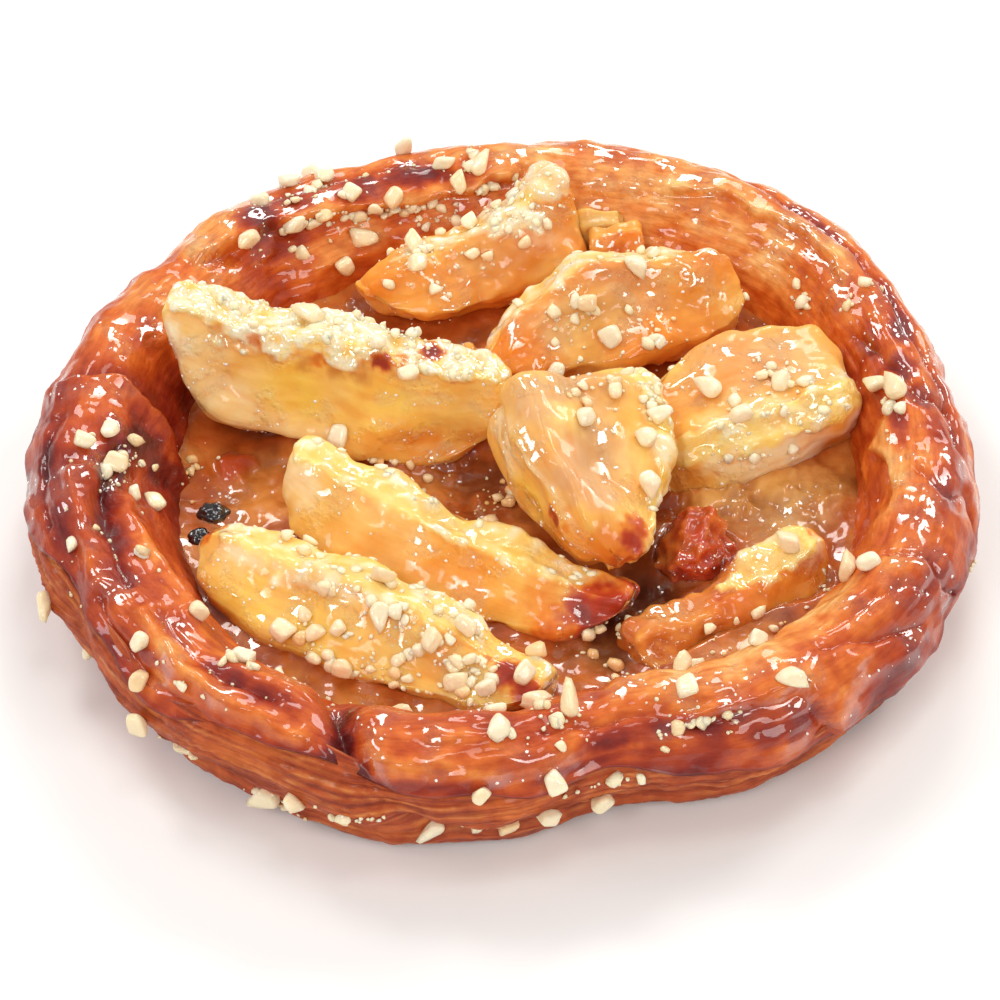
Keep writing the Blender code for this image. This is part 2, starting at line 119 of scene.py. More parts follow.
def measureEach(points, measure, where):  # 0 at the points that where leaves out
    values = np.zeros(points.shape[:-1])
    chosen = np.ones(values.shape, bool) if where is None else where
    values[chosen] = [measure(place) for place in points[chosen].tolist()]
    return values


def grain(points, size, shift=0.0, where=None):  # smooth noise, about -1 to 1, its lumps as large as size
    return measureEach(points / np.asarray(size) + shift, noise.noise, where)


def grainSum(points, layers, start=0):  # layers: how strong, how large its lumps are, shift
    return sum((strength * grain(points, size, shift) for strength, size, shift in layers), start)


def lumps(points, size, shift=0.0, where=None):  # packed round lumps with creases between them
    return measureEach(points / size + shift, lambda place: 0.55 - noise.voronoi(place)[0][0], where)


def mixColours(base, other, mask):
    return base + (np.asarray(other) - base) * np.clip(mask, 0, 1)[..., None]


def plainColour(colour, points):  # one colour at every point
    return np.broadcast_to(np.array(paint[colour]), points.shape)


def rampColour(stops, value):
    places = [place for place, colour in stops]
    return np.stack([np.interp(value, places, [colour[channel] for place, colour in stops])
                     for channel in range(3)], -1)


def blotch(points, centre, radius, ragged=0.45):  # 1 in the middle of a spot, 0 outside its uneven edge
    away = np.linalg.norm(points - np.asarray(centre), axis=-1) / radius
    near = away < 1.20 + 1.5 * ragged
    away = away + ragged * grain(points, radius * 0.6, 3.7, near)
    away = away + 0.5 * ragged * grain(points, max(radius * 0.22, 0.0008), 5.1, near)
    return easeBetween(1.20, 0.20, away) * near


def spotAt(points, middle, radius):  # a blotch that is placed in millimetres
    return blotch(points, np.array(middle) * mm, radius * mm)


def gridMesh(name, grid, closedAcross=False, capStart=False, capEnd=False):
    # a mesh over points[around, across], always closed round the first axis
    around, across = grid.shape[:2]
    ids = np.arange(around * across).reshape(around, across)
    turned = np.roll(ids, -1, axis=0)
    if closedAcross:
        corners = (ids, np.roll(ids, -1, axis=1), np.roll(turned, -1, axis=1), turned)
    else:
        corners = (ids[:, :-1], ids[:, 1:], turned[:, 1:], turned[:, :-1])
    faces = np.stack(corners, -1).reshape(-1, 4).tolist()
    points = grid.reshape(-1, 3).tolist()
    for wanted, ring in ((capStart, ids[:, 0]), (capEnd, ids[:, -1])):
        if wanted:
            middle = len(points)
            points.append(np.array(points)[ring].mean(0).tolist())
            faces += [(int(one), int(other), middle) for one, other in zip(ring, np.roll(ring, -1))]
    mesh = bpy.data.meshes.new(name)
    mesh.from_pydata(points, [], faces)
    shape = bmesh.new()
    shape.from_mesh(mesh)
    bmesh.ops.recalc_face_normals(shape, faces=shape.faces)
    shape.to_mesh(mesh)
    shape.free()
    mesh.shade_smooth()
    return mesh


def addPiece(name, mesh):
    piece = bpy.data.objects.new(name, mesh)
    scene.collection.objects.link(piece)
    return piece


def withLast(rows, count):  # the last row repeated until there are count of them
    return np.vstack([rows, np.repeat(rows[-1:], count - len(rows), axis=0)])


def setTint(mesh, colours):  # one colour a point; caps and other extra points take the last one
    flat = withLast(colours.reshape(-1, 3), len(mesh.vertices))
    attribute = mesh.attributes.new("tint", "FLOAT_COLOR", "POINT")
    attribute.data.foreach_set("color", np.hstack([np.clip(flat, 0, 1), np.ones((len(flat), 1))]).ravel())


def setNumber(mesh, name, values):  # the extra points take 0
    flat = values.reshape(-1)
    flat = np.concatenate([flat, np.zeros(len(mesh.vertices) - len(flat))])
    attribute = mesh.attributes.new(name, "FLOAT", "POINT")
    attribute.data.foreach_set("value", flat.astype(np.float32))


def setRun(mesh, run):  # a place along and across the surface, for fine wrinkles and streaks
    flat = withLast(run.reshape(-1, 3), len(mesh.vertices))
    attribute = mesh.attributes.new("run", "FLOAT_VECTOR", "POINT")
    attribute.data.foreach_set("vector", flat.astype(np.float32).ravel())


def treeOf(mesh):
    return BVHTree.FromPolygons([v.co for v in mesh.vertices], [f.vertices for f in mesh.polygons])


# the camera, at the photograph's view

view = {"distance": 0.42, "elevation": 44, "aimHeight": 0.01, "lens": 109.08, "shiftDown": 0.03}


def makeCamera():
    camera = bpy.data.objects.new("camera", bpy.data.cameras.new("camera"))
    scene.collection.objects.link(camera)
    tilt = radians(view["elevation"])
    camera.location = (0, -view["distance"] * cos(tilt), view["aimHeight"] + view["distance"] * sin(tilt))
    camera.rotation_euler = (pi / 2 - tilt, 0, 0)
    camera.data.lens = view["lens"]
    camera.data.shift_y = -view["shiftDown"]
    scene.camera = camera


# materials

def newMaterial(name):
    material = bpy.data.materials.new(name)
    material.use_nodes = True
    nodes, links = material.node_tree.nodes, material.node_tree.links
    return material, nodes, links, nodes["Principled BSDF"]


def addAttribute(nodes, name):
    reader = nodes.new("ShaderNodeAttribute")
    reader.attribute_name = name
    return reader


def addMath(nodes, links, operation, value):  # the maths node, its first input fed by value
    maths = nodes.new("ShaderNodeMath")
    maths.operation = operation
    links.new(value, maths.inputs[0])
    return maths


def addRamp(nodes, links, value, stops):  # stops: (place, colour), from low to high
    ramp = nodes.new("ShaderNodeValToRGB")
    elements = ramp.color_ramp.elements
    elements[0].position = stops[0][0]
    elements[1].position = stops[-1][0]
    for place, _ in stops[1:-1]:
        elements.new(place)
    for element, (_, colour) in zip(elements, stops):
        element.color = (*colour, 1)
    links.new(value, ramp.inputs[0])
    return ramp.outputs[0]


def addNoise(nodes, links, size):  # lumps as large as size; a size of 0 is streaks along the surface's run
    texture = nodes.new("ShaderNodeTexNoise")
    texture.inputs["Scale"].default_value = 1 / size if size else 1
    texture.inputs["Detail"].default_value = 3
    if size:
        place = nodes.new("ShaderNodeTexCoord").outputs["Object"]
    else:
        place = addAttribute(nodes, "run").outputs["Vector"]
    links.new(place, texture.inputs["Vector"])
    return texture.outputs[0]


def stickyBetween(nodes, links, least, most):  # a number that goes up where the surface is sticky
    rising = nodes.new("ShaderNodeMapRange")
    rising.inputs["To Min"].default_value = least
    rising.inputs["To Max"].default_value = most
    links.new(addAttribute(nodes, "sticky").outputs["Fac"], rising.inputs["Value"])
    return rising.outputs[0]


def addBumps(nodes, links, shader, layers):  # layers: noise size, height, how much needs the sticky places
    last = None
    for size, height, stickyShare in layers:
        value = addNoise(nodes, links, size)
        if stickyShare:  # taken about its middle, so that a sticky place has no step round it
            centred = addMath(nodes, links, "SUBTRACT", value)
            centred.inputs[1].default_value = 0.5
            product = addMath(nodes, links, "MULTIPLY", centred.outputs[0])
            links.new(stickyBetween(nodes, links, 1 - stickyShare, 1), product.inputs[1])
            value = product.outputs[0]
        bump = nodes.new("ShaderNodeBump")
        bump.inputs["Distance"].default_value = height
        links.new(value, bump.inputs["Height"])
        if last:
            links.new(last.outputs["Normal"], bump.inputs["Normal"])
        last = bump
    links.new(last.outputs["Normal"], shader.inputs["Normal"])


def mottled(nodes, links, finish):  # the piece's own tint, darkened in patches and in fine streaks
    colour = addAttribute(nodes, "tint").outputs["Color"]
    for size, darkest in ((finish["mottleSize"], finish["darkest"]), (0, finish["streaks"])):
        patches = addRamp(nodes, links, addNoise(nodes, links, size), ((0.36, darkest), (0.58, (1, 1, 1))))
        mix = nodes.new("ShaderNodeMix")  # its colour sockets are inputs 6 and 7 and output 2
        mix.data_type = "RGBA"
        mix.blend_type = "MULTIPLY"
        mix.inputs[0].default_value = 1
        links.new(colour, mix.inputs[6])
        links.new(patches, mix.inputs[7])
        colour = mix.outputs[2]
    return colour


def setFinish(shader, finish):
    shader.inputs["Roughness"].default_value = finish["roughness"]
    shader.inputs["Subsurface Weight"].default_value = finish["glow"]
    shader.inputs["Subsurface Radius"].default_value = finish["glowReach"]
    shader.inputs["Subsurface Scale"].default_value = finish["glowScale"]
    shader.inputs["Specular IOR Level"].default_value = 0.2  # the food itself hardly shines
    shader.inputs["Coat Weight"].default_value = finish["glaze"]
    shader.inputs["Coat Roughness"].default_value = finish["glazeRoughness"]
    shader.inputs["Coat IOR"].default_value = 2.0  # a thick, bright glaze


def makeFood(name):  # a tinted, slightly see-through food surface
    finish = finishes[name]
    material, nodes, links, shader = newMaterial(name)
    links.new(mottled(nodes, links, finish), shader.inputs["Base Color"])
    setFinish(shader, finish)
    if "wetGlaze" in finish:
        glaze = stickyBetween(nodes, links, finish["glaze"], finish["wetGlaze"])
        links.new(glaze, shader.inputs["Coat Weight"])
    addBumps(nodes, links, shader, finish["bumps"])
    return material


finishes = {  # sizes in metres; wetGlaze is the glaze at the sticky places
    "glazedPastry": {
        "mottleSize": 0.0019, "darkest": (0.86, 0.74, 0.64), "streaks": (0.86, 0.72, 0.60),
        "roughness": 0.45, "glow": 0.12, "glowReach": (1.0, 0.35, 0.12), "glowScale": 0.0020,
        "glaze": 0.22, "wetGlaze": 1.0, "glazeRoughness": 0.04,
        "bumps": ((0.0026, 0.00034, 0), (0, 0.00030, 0.3), (0.0017, 0.00085, 0.95), (0.0008, 0.00020, 1.0)),
    },
    "bareLayers": {
        "mottleSize": 0.0022, "darkest": (0.78, 0.60, 0.46), "streaks": (0.72, 0.54, 0.42),
        "roughness": 0.55, "glow": 0.08, "glowReach": (1.0, 0.4, 0.15), "glowScale": 0.0018,
        "glaze": 0.12, "glazeRoughness": 0.20, "bumps": ((0.0016, 0.00024, 0), (0, 0.00040, 0)),
    },
    "roastApple": {
        "mottleSize": 0.0050, "darkest": (0.96, 0.87, 0.74), "streaks": (0.98, 0.94, 0.88),
        "roughness": 0.42, "glow": 0.60, "glowReach": (1.0, 0.80, 0.50), "glowScale": 0.0034,
        "glaze": 0.16, "wetGlaze": 1.0, "glazeRoughness": 0.04,
        "bumps": ((0.0030, 0.00016, 0), (0, 0.00007, 0), (0.0013, 0.00075, 0.96), (0.0007, 0.00022, 1.0)),
    },
    "glazedCream": {
        "mottleSize": 0.0044, "darkest": (0.78, 0.64, 0.50), "streaks": (0.86, 0.76, 0.66),
        "roughness": 0.30, "glow": 0.25, "glowReach": (1.0, 0.5, 0.2), "glowScale": 0.0026,
        "glaze": 0.30, "wetGlaze": 0.9, "glazeRoughness": 0.05,
        "bumps": ((0.0040, 0.00045, 0), (0.0014, 0.00040, 0.85)),
    },
    "glazedNut": {
        "roughness": 0.34, "glow": 0.35, "glowReach": (1.0, 0.65, 0.35), "glowScale": 0.0012,
        "glaze": 0.3, "glazeRoughness": 0.10, "bumps": ((0.0011, 0.00020, 0), (0.0004, 0.00006, 0)),
    },
    "appleBits": {
        "roughness": 0.40, "glow": 0.6, "glowReach": (1.0, 0.8, 0.6), "glowScale": 0.0006,
        "glaze": 0.3, "glazeRoughness": 0.10,
    },
    "sugarGlintBits": {
        "roughness": 0.40, "glow": 0.0, "glowReach": (1.0, 0.8, 0.6), "glowScale": 0.0006,
        "glaze": 0.3, "glazeRoughness": 0.10,
    },
}


# the rim's and the base's form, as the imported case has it

crust = {
    "radius": 0.0646,
    "bulges": ((45, 24, 0.0026), (135, 38, -0.0022), (232, 14, 0.0009), (256, 9, 0.0015), (285, 10, -0.0042),
               (330, 22, 0.0026)),
    "centre": (-0.0005, 0.0003),
    "rollInset": 0.0072, "rollMiddle": 0.0118, "rollHeight": 0.0093, "rollEnd": 150,
    "floor": 0.0042,
    "foot": ((0.0105, 0), (0.0076, 0.0005), (0.0050, 0.0018), (0.0038, 0.0035), (0.0043, 0.0052),
             (0.0020, 0.0075)),
    "innerWall": ((0.0152, 0.0140), (0.0163, 0.0112), (0.0174, 0.0084), (0.0190, 0.0061), (0.0222, 0.0042)),
    "bands": ((-172, 30, 0.30), (0, 34, -0.10), (90, 40, 0.08)),
    "rises": ((60, 50, 0.0006), (-150, 40, 0.0005), (-75, 22, -0.0008), (120, 25, -0.0005)),
    "creases": ((-108.5, -8, 3.2, 0.0021), (-160, -13, 5.0, 0.0016), (172, 10, 4.0, 0.0009),
                (140, -8, 4.5, 0.0011), (97, 6, 5.0, 0.0007), (14, 5, 5.0, 0.0009),
                (-42, -16, 5.0, 0.0010), (-77, 5, 4.5, 0.0008)),
    "lumpSize": 0.013, "lumpDepth": 0.0009,
    # the step between two layers outside: how deep, at what height, how that wavers, how wide
    "layerEdge": 0.0011, "layerHeight": 0.0066, "layerWaver": 0.0012, "layerWidth": 0.0011,
    "around": 960,  # points round the tart
    "rimAcross": 98, "baseAcross": 60,
    "skinEdge": 0.00045,  # how far the glazed skin's lower edge stands out over the bare layers
    "skinTurn": 20,  # the turn at which the glazed skin ends outside, and where it ends higher or lower
    "skinTurns": ((-150, 17, 18), (-118, 14, 24), (-93, 15, 18), (-60, 13, -18), (-30, 16, -30),
                  (45, 50, -10)),
    "markDepth": 1.45,  # times the heights in rimMarks
    # where the crest has more glaze
    "wetter": ((16, 44, 0.42), (75, 34, 0.42), (120, 20, 0.12), (176, 24, 0.18), (-60, 24, 0.06)),
    # fine form, in layers of (height, size, shift)
    "swellings": ((0.00055, 0.0062, 11), (0.00028, 0.0029, 5), (0.00010, 0.0012, 9)),
    "wrinkles": ((0.00034, (0.0090, 0.0017, 1.0), 2), (0.00020, (0.0042, 0.0009, 1.0), 7)),
    "sideLayers": ((0.00050, (0.012, 0.00075, 1.0), 4), (0.00030, (0.0050, 0.00042, 1.0), 8)),
    "sideRoughness": ((0.00034, 0.0030, 14), (0.00014, 0.0010, 17)),
    # how unevenly the skin is baked, in patches and in streaks: (amount, size, shift)
    "bakedPatches": ((0.15, 0.010, 51), (0.12, 0.0042, 53), (0.07, 0.0016, 57)),
    "bakedStreaks": ((0.08, (0.011, 0.0014, 1.0), 59),),
    # level rings at (inset, height) that close the rim and the base inside
    "rimClosing": ((0.0150, 0.0050), (0.0085, 0.0085)),
    "baseClosing": ((0.0095, 0.0085), (0.0160, 0.0050), (0.0240, 0.0036), (0.0420, 0.0036)),
}


def caseProfile():
    # (inset, height) up the outside, over the roll and down the inner wall, and how far along each is
    turns = np.radians(np.arange(0, crust["rollEnd"] + 1, 5))
    rollX = crust["rollInset"] * (1 - np.cos(turns))
    rollZ = crust["rollMiddle"] + crust["rollHeight"] * np.sin(turns)
    points = np.vstack([crust["foot"], np.stack([rollX, rollZ], -1), crust["innerWall"]])
    along = np.concatenate([[0], np.cumsum(np.linalg.norm(np.diff(points, axis=0), axis=1))])
    fine = np.linspace(0, along[-1], 400)
    smooth = np.stack([np.interp(fine, along, points[:, axis]) for axis in (0, 1)], -1)
    for _ in range(10):  # rounds the corners a little
        smooth[1:-1] = (smooth[:-2] + 2 * smooth[1:-1] + smooth[2:]) / 4
    return fine, smooth


def rimTurn(roundRoll):
    return np.where(roundRoll < -90, roundRoll + 360, roundRoll)


def turnOf(inset, height):
    return rimTurn(np.degrees(np.arctan2(height - crust["rollMiddle"], crust["rollInset"] - inset)))


# What stands proud or lies low on the rim: kind, height, reach, line of (direction, turn). An edge is
# higher on its left, a groove is low and a ridge is high.
rimMarks = (
    ("edge", -0.0013, 0.006,  # left lobe
     ((173.2, 112), (174.3, 136), (175.1, 152), (177, 172), (182, 196))),
    ("edge", -0.0008, 0.005, ((174, 48), (174, 75), (173.2, 112))),  # left top
    ("groove", 0.0012, 0.0010,  # left crease
     ((-174, 122), (-170, 114), (-165, 112), (-159.6, 104), (-152, 99), (-146, 92))),
    ("ridge", 0.0009, 0.0014,  # left ridge
     ((-164, 128), (-159, 119), (-152, 126), (-145, 130), (-138, 126))),
    ("ridge", 0.0007, 0.0013, ((-168, 88), (-162, 84), (-155, 78), (-148, 70))),  # left ridge outer
    ("groove", 0.0008, 0.0008, ((-179, 70), (-172.5, 63), (-168, 53), (-162, 48))),  # left outer
    ("ridge", 0.0009, 0.0012,  # front left ridge
     ((-140, 84), (-132, 74), (-126, 67), (-120, 64), (-113, 63))),
    ("groove", 0.0009, 0.0010, ((-138, 98), (-131, 88), (-125, 82), (-118, 84))),  # front left lobe
    ("groove", 0.0007, 0.0009,  # front left fold
     ((-146, 62), (-138, 52), (-130, 46), (-122, 38), (-114, 34))),
    ("groove", 0.0014, 0.0011,  # front crease
     ((-111, 132), (-109.8, 101), (-108.4, 82), (-107.2, 54), (-105.5, 25), (-105, 6))),
    ("groove", 0.0006, 0.0010, ((-84, 78), (-76, 70), (-68, 70), (-61, 76))),  # front fold
    ("ridge", 0.0005, 0.0016, ((-103, 58), (-96, 62), (-88, 60), (-80, 56))),  # front ridge
    ("edge", 0.0012, 0.005,  # right flap
     ((-66, 62), (-60, 67), (-55, 64), (-52.5, 59), (-51.3, 44), (-49.9, 10))),
    ("edge", -0.0008, 0.006, ((-72, 116), (-62, 122), (-50, 132), (-40, 148), (-32, 170))),  # right inner
    ("groove", 0.0008, 0.0008, ((-47, 84), (-41, 70), (-36, 56), (-33, 38))),  # right wrinkle
    ("groove", 0.0006, 0.0007, ((-44, 98), (-36, 90), (-31, 76), (-30, 62))),  # right wrinkle top
    ("groove", 0.0008, 0.0007, ((-28, 104), (-26.4, 75), (-27, 48), (-25, 20))),  # right crack low
    ("groove", 0.0008, 0.0008, ((-12, 98), (-14, 72), (-11, 46), (-14, 18))),  # right crack
    ("edge", 0.0011, 0.004, ((-3, 150), (-10, 128), (-17, 120), (-22, 132), (-25, 160))),  # right lobe
    ("groove", 0.0009, 0.0011, ((20, 128), (13, 112), (7, 96), (3, 84), (2, 60))),  # right top
    ("groove", 0.0009, 0.0006,  # back lip
     ((60, 66), (51, 75), (43, 80), (35, 80), (28, 77), (17, 72), (6, 62), (-4, 52))),
    ("edge", 0.0007, 0.003,  # back flake
     ((62, 118), (54, 103), (49, 109), (44.7, 105), (38, 100), (31, 108))),
    ("edge", 0.0013, 0.005,  # back left fold
     ((142, 102), (133, 108), (124, 118), (114, 128), (104, 136), (94, 132), (88, 120))),
    ("groove", 0.0008, 0.0012, ((128, 84), (118, 88), (108, 94), (98, 92))),  # back left roll
)
alongDegree = radians(1) * 0.058  # metres along the rim in a degree of direction
acrossDegree = radians(1) * 0.0083  # metres across it in a degree of turn
# all marks, in metres: how they waver and fade past their ends, and how steep an edge is
markEdge = {"waver": 0.0008, "fade": 0.002, "steep": 0.00030, "dip": 0.55, "dipReach": 0.0016}


def alongRim(direction, across):  # metres along the rim and across it
    return np.stack([direction * alongDegree, across, 0 * across], -1)


def lineField(direction, turn, line):
    # signed distance in metres from a line on the rim, higher to its left, and how far past its ends
    first = line[0][0]
    x = ((direction - first + 180) % 360 - 180) * alongDegree
    y = turn * acrossDegree
    nearest = np.full(x.shape, 1.0)
    signed = np.zeros(x.shape)
    past = np.zeros(x.shape)
    corners = [(((d - first + 180) % 360 - 180) * alongDegree, t * acrossDegree) for d, t in line]
    for index, ((ax, ay), (bx, by)) in enumerate(zip(corners, corners[1:])):
        length = np.hypot(bx - ax, by - ay)
        ux, uy = (bx - ax) / length, (by - ay) / length
        share = (x - ax) * ux + (y - ay) * uy
        held = np.clip(share, 0, length)
        away = np.hypot(x - ax - ux * held, y - ay - uy * held)
        side = ux * (y - ay) - uy * (x - ax)
        closer = away < nearest
        nearest = np.where(closer, away, nearest)
        signed = np.where(closer, np.sign(side) * away, signed)
        before = np.maximum(0, -share) if index == 0 else 0
        beyond = np.maximum(0, share - length) if index == len(corners) - 2 else 0
        past = np.where(closer, before + beyond, past)
    return signed, past


def rimRelief(points, direction, turn):  # the fine form of the glazed rim, on top of the case's own
    relief = grainSum(points, crust["swellings"])
    run = alongRim(direction, turn * acrossDegree)
    wrinkled = 0.35 + 0.65 * easeBetween(-0.1, 0.35, grain(points, 0.016, 21))
    for height, size, shift in crust["wrinkles"]:
        relief += height * wrinkled * grain(run, size, shift)
    waver = markEdge["waver"] * grain(points, 0.004, 31)
    for kind, height, reach, line in rimMarks:
        height = height * crust["markDepth"]
        signed, past = lineField(direction, turn, line)
        signed = signed + waver
        fade = np.exp(-((past / markEdge["fade"]) ** 2))
        if kind == "edge":
            out = signed * np.sign(height)
            step = easeBetween(-markEdge["steep"], markEdge["steep"], out)
            high = np.exp(-np.maximum(out, 0) / reach)
            low = markEdge["dip"] * np.exp(np.minimum(out, 0) / markEdge["dipReach"])
            relief += abs(height) * fade * (step * high - (1 - step) * low)
        elif kind == "groove":
            relief -= height * fade * np.exp(-np.abs(signed) / reach)
        else:
            relief += height * fade * np.exp(-((signed / reach) ** 2))
    return relief


def layerRelief(points, direction, height):  # thin, uneven layers above one another on the unglazed side
    run = alongRim(direction, height + 0.0010 * np.sin(np.radians(2 * direction)))
    return grainSum(points, crust["sideRoughness"], grainSum(run, crust["sideLayers"]))


def shapeCase(direction, inset, height, relief=None, sunk=0.0):
    # where a point of the turned case comes to lie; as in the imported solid, with relief added
    flat = crust["radius"] - inset
    way = np.stack([np.cos(np.radians(direction)), np.sin(np.radians(direction))], -1)
    start = np.concatenate([way * flat[..., None], height[..., None]], -1)
    offAxis = easeBetween(crust["radius"] - 0.004, crust["radius"] - 0.022, inset)
    inner = np.maximum(0, inset - crust["rollInset"]) * offAxis
    inset = inset + inner * sumOfBumps(direction, crust["bands"])
    across, up = inset - crust["rollInset"], height - crust["rollMiddle"]
    reach = np.maximum(np.hypot(across, up), 0.001)
    roundRoll = np.degrees(np.arctan2(up, -across))
    onRim = easeBetween(0.0008, 0.0060, height) * easeBetween(0.020, 0.014, inset)
    push = crust["lumpDepth"] * grain(start, crust["lumpSize"])
    for centre, turn, width, depth in crust["creases"]:
        push = push - depth * angleBump(direction, centre + turn * (roundRoll - 90) / 90, width)
    layerLine = crust["layerHeight"] + crust["layerWaver"] * np.sin(np.radians(3 * direction + 40))
    step = np.exp(-(((height - layerLine) / crust["layerWidth"]) ** 2))
    push = push - crust["layerEdge"] * step * (across < 0)
    push = push * onRim
    if relief is not None:
        push = push + relief
    share = (push - sunk) / reach
    inset = inset + across * share
    height = height + up * share
    height = height + sumOfBumps(direction, crust["rises"]) * easeBetween(0.006, 0.020, height)
    radius = crust["radius"] - inset + sumOfBumps(direction, crust["bulges"]) * offAxis
    shift = np.array(crust["centre"]) * offAxis[..., None]
    return np.concatenate([way * radius[..., None] + shift, height[..., None]], -1)


def skinStart(direction):  # how far up the profile the glazed skin begins, at each direction
    fine, smooth = caseProfile()
    turn = crust["skinTurn"] + sumOfBumps(direction, crust["skinTurns"])
    turn = turn + 7 * np.sin(np.radians(direction * 9)) + 4 * np.sin(np.radians(direction * 23 + 50))
    outside = turnOf(smooth[:, 0], smooth[:, 1])
    climbing = (outside > -45) & (outside < 140)
    return np.interp(turn, outside[climbing], fine[climbing])


# How baked the rim is: all round, in broad bands and in spots; on its inner wall it is partly painted shade.
bakedRound = ((-180, 0.66), (-166, 0.66), (-150, 0.56), (-135, 0.43), (-120, 0.39), (-108, 0.46),
              (-92, 0.46), (-76, 0.48), (-62, 0.48), (-46, 0.49), (-30, 0.48), (-12, 0.41), (4, 0.32),
              (20, 0.34), (40, 0.27), (60, 0.22), (78, 0.19), (92, 0.24), (106, 0.35), (122, 0.38),
              (140, 0.32), (156, 0.36), (180, 0.66))
# direction, turn, half length, half width in metres, amount; the spots at turns of 150 and more lie on the
# inner wall and are partly painted shade
bakedAndShadedSpots = (
    (130, 100, 0.0050, 0.0030, 0.60), (122, 98, 0.0080, 0.0022, 0.42), (114, 104, 0.0060, 0.0030, 0.58),
    (103, 108, 0.0080, 0.0028, 0.60), (94, 112, 0.0050, 0.0022, 0.30), (128, 128, 0.0060, 0.0030, 0.25),
    (-178, 140, 0.0055, 0.0036, 0.50), (-175, 170, 0.0045, 0.0045, 0.34), (-171, 128, 0.0045, 0.0024, 0.36),
    (178, 205, 0.0045, 0.0055, 0.34), (-165, 112, 0.0060, 0.0014, 0.34), (-157, 103, 0.0060, 0.0014, 0.24),
    (-172, 62, 0.0080, 0.0020, 0.30), (-150, 30, 0.0050, 0.0018, 0.28), (-160, 60, 0.0060, 0.0020, 0.22),
    (-125, 88, 0.0050, 0.0020, 0.40), (-119, 84, 0.0045, 0.0018, 0.34), (-134, 62, 0.0060, 0.0014, 0.22),
    (-109.5, 110, 0.0016, 0.0045, 0.28), (-108, 70, 0.0019, 0.0050, 0.40), (-106, 35, 0.0028, 0.0045, 0.46),
    (-76, 54, 0.0055, 0.0018, 0.42), (-66, 60, 0.0055, 0.0015, 0.30), (-68, 25, 0.0095, 0.0028, 0.20),
    (-55, 36, 0.0060, 0.0028, 0.32), (-40, 16, 0.0110, 0.0032, 0.34), (-29, 56, 0.0075, 0.0042, 0.20),
    (-22, 24, 0.0095, 0.0032, 0.28), (9, 98, 0.0040, 0.0030, 0.42), (3, 88, 0.0034, 0.0026, 0.36),
    (-1, 114, 0.0060, 0.0018, 0.40), (16, 84, 0.0045, 0.0015, 0.30), (40, 79, 0.0160, 0.0008, 0.32),
    (20, 72, 0.0120, 0.0009, 0.30), (0, 55, 0.0140, 0.0032, 0.22), (160, 55, 0.0140, 0.0030, 0.16),
    (11, 150, 0.0130, 0.0070, 0.26), (165, 175, 0.0140, 0.0060, 0.18), (138, 165, 0.0120, 0.0050, 0.08),
    (-20, 146, 0.0030, 0.0022, 0.28), (-37, 140, 0.0030, 0.0018, 0.24), (-100, 74, 0.0030, 0.0018, 0.20),
    (-88, 58, 0.0040, 0.0014, 0.16), (-96, 44, 0.0100, 0.0010, 0.24), (-78, 40, 0.0100, 0.0010, 0.24),
    (70, 96, 0.0060, 0.0014, 0.14), (-14, 72, 0.0050, 0.0024, 0.24), (-3, 78, 0.0040, 0.0020, 0.22),
)
paleSpots = (
    (-52, 112, 0.0120, 0.0040, 0.30), (-38, 140, 0.0100, 0.0050, 0.34), (-66, 116, 0.0080, 0.0034, 0.22),
    (-72, 92, 0.0070, 0.0026, 0.18), (-97, 80, 0.0080, 0.0030, 0.12), (165, 95, 0.0080, 0.0040, 0.10),
    (-14, 134, 0.0090, 0.0040, 0.16), (70, 120, 0.0110, 0.0040, 0.10), (48, 128, 0.0120, 0.0050, 0.10),
    (150, 120, 0.0090, 0.0040, 0.10), (-28, 98, 0.0060, 0.0024, 0.12), (112, 152, 0.0050, 0.0030, 0.22),
    (-173, 98, 0.0060, 0.0030, 0.10), (-152, 122, 0.0060, 0.0022, 0.12), (-44, 98, 0.0070, 0.0024, 0.12),
)


def spotSum(points, direction, turn, spots, ragged):
    total = np.zeros(direction.shape)
    rough = grain(points, 0.0030, 41) * ragged + grain(points, 0.0012, 43) * ragged * 0.5
    for centre, middleTurn, halfLength, halfWidth, amount in spots:
        along = ((direction - centre + 180) % 360 - 180) * alongDegree / halfLength
        across = (turn - middleTurn) * acrossDegree / halfWidth
        away = np.hypot(along, across) + rough
        total = np.maximum(total, amount * easeBetween(1.25, 0.20, away))
    return total


def bakedAndShadedRim(points, direction, turn, relief):
    baked = np.interp(direction, *zip(*bakedRound))
    baked = grainSum(points, crust["bakedPatches"], baked)
    baked = grainSum(alongRim(direction, turn * acrossDegree), crust["bakedStreaks"], baked)
    baked = baked - 130 * np.clip(relief, -0.0012, 0.0010)  # glaze browns where it runs into the low places
    # partly painted shade: the whole inner side of the roll is made darker, where it lies in shade
    baked = baked + 0.10 * easeBetween(150, 200, turn)
    baked = baked + spotSum(points, direction, turn, bakedAndShadedSpots, 0.38)
    return baked - spotSum(points, direction, turn, paleSpots, 0.30)


def roundRun(direction, across, length, width):  # a run round the tart, in streaks of this length and width
    way = np.stack([np.cos(np.radians(direction)), np.sin(np.radians(direction))], -1)
    return np.concatenate([way * crust["radius"] / length, across[..., None] / width], -1)


def closingRings(around, places):
    return [shapeCase(around, np.full(around.shape, inset), np.full(around.shape, height))
            for inset, height in places]


def throughRings(values, rings):  # the last column's values again on each closing ring
    return np.concatenate([values, np.repeat(values[:, -1:], len(rings), 1)], 1)


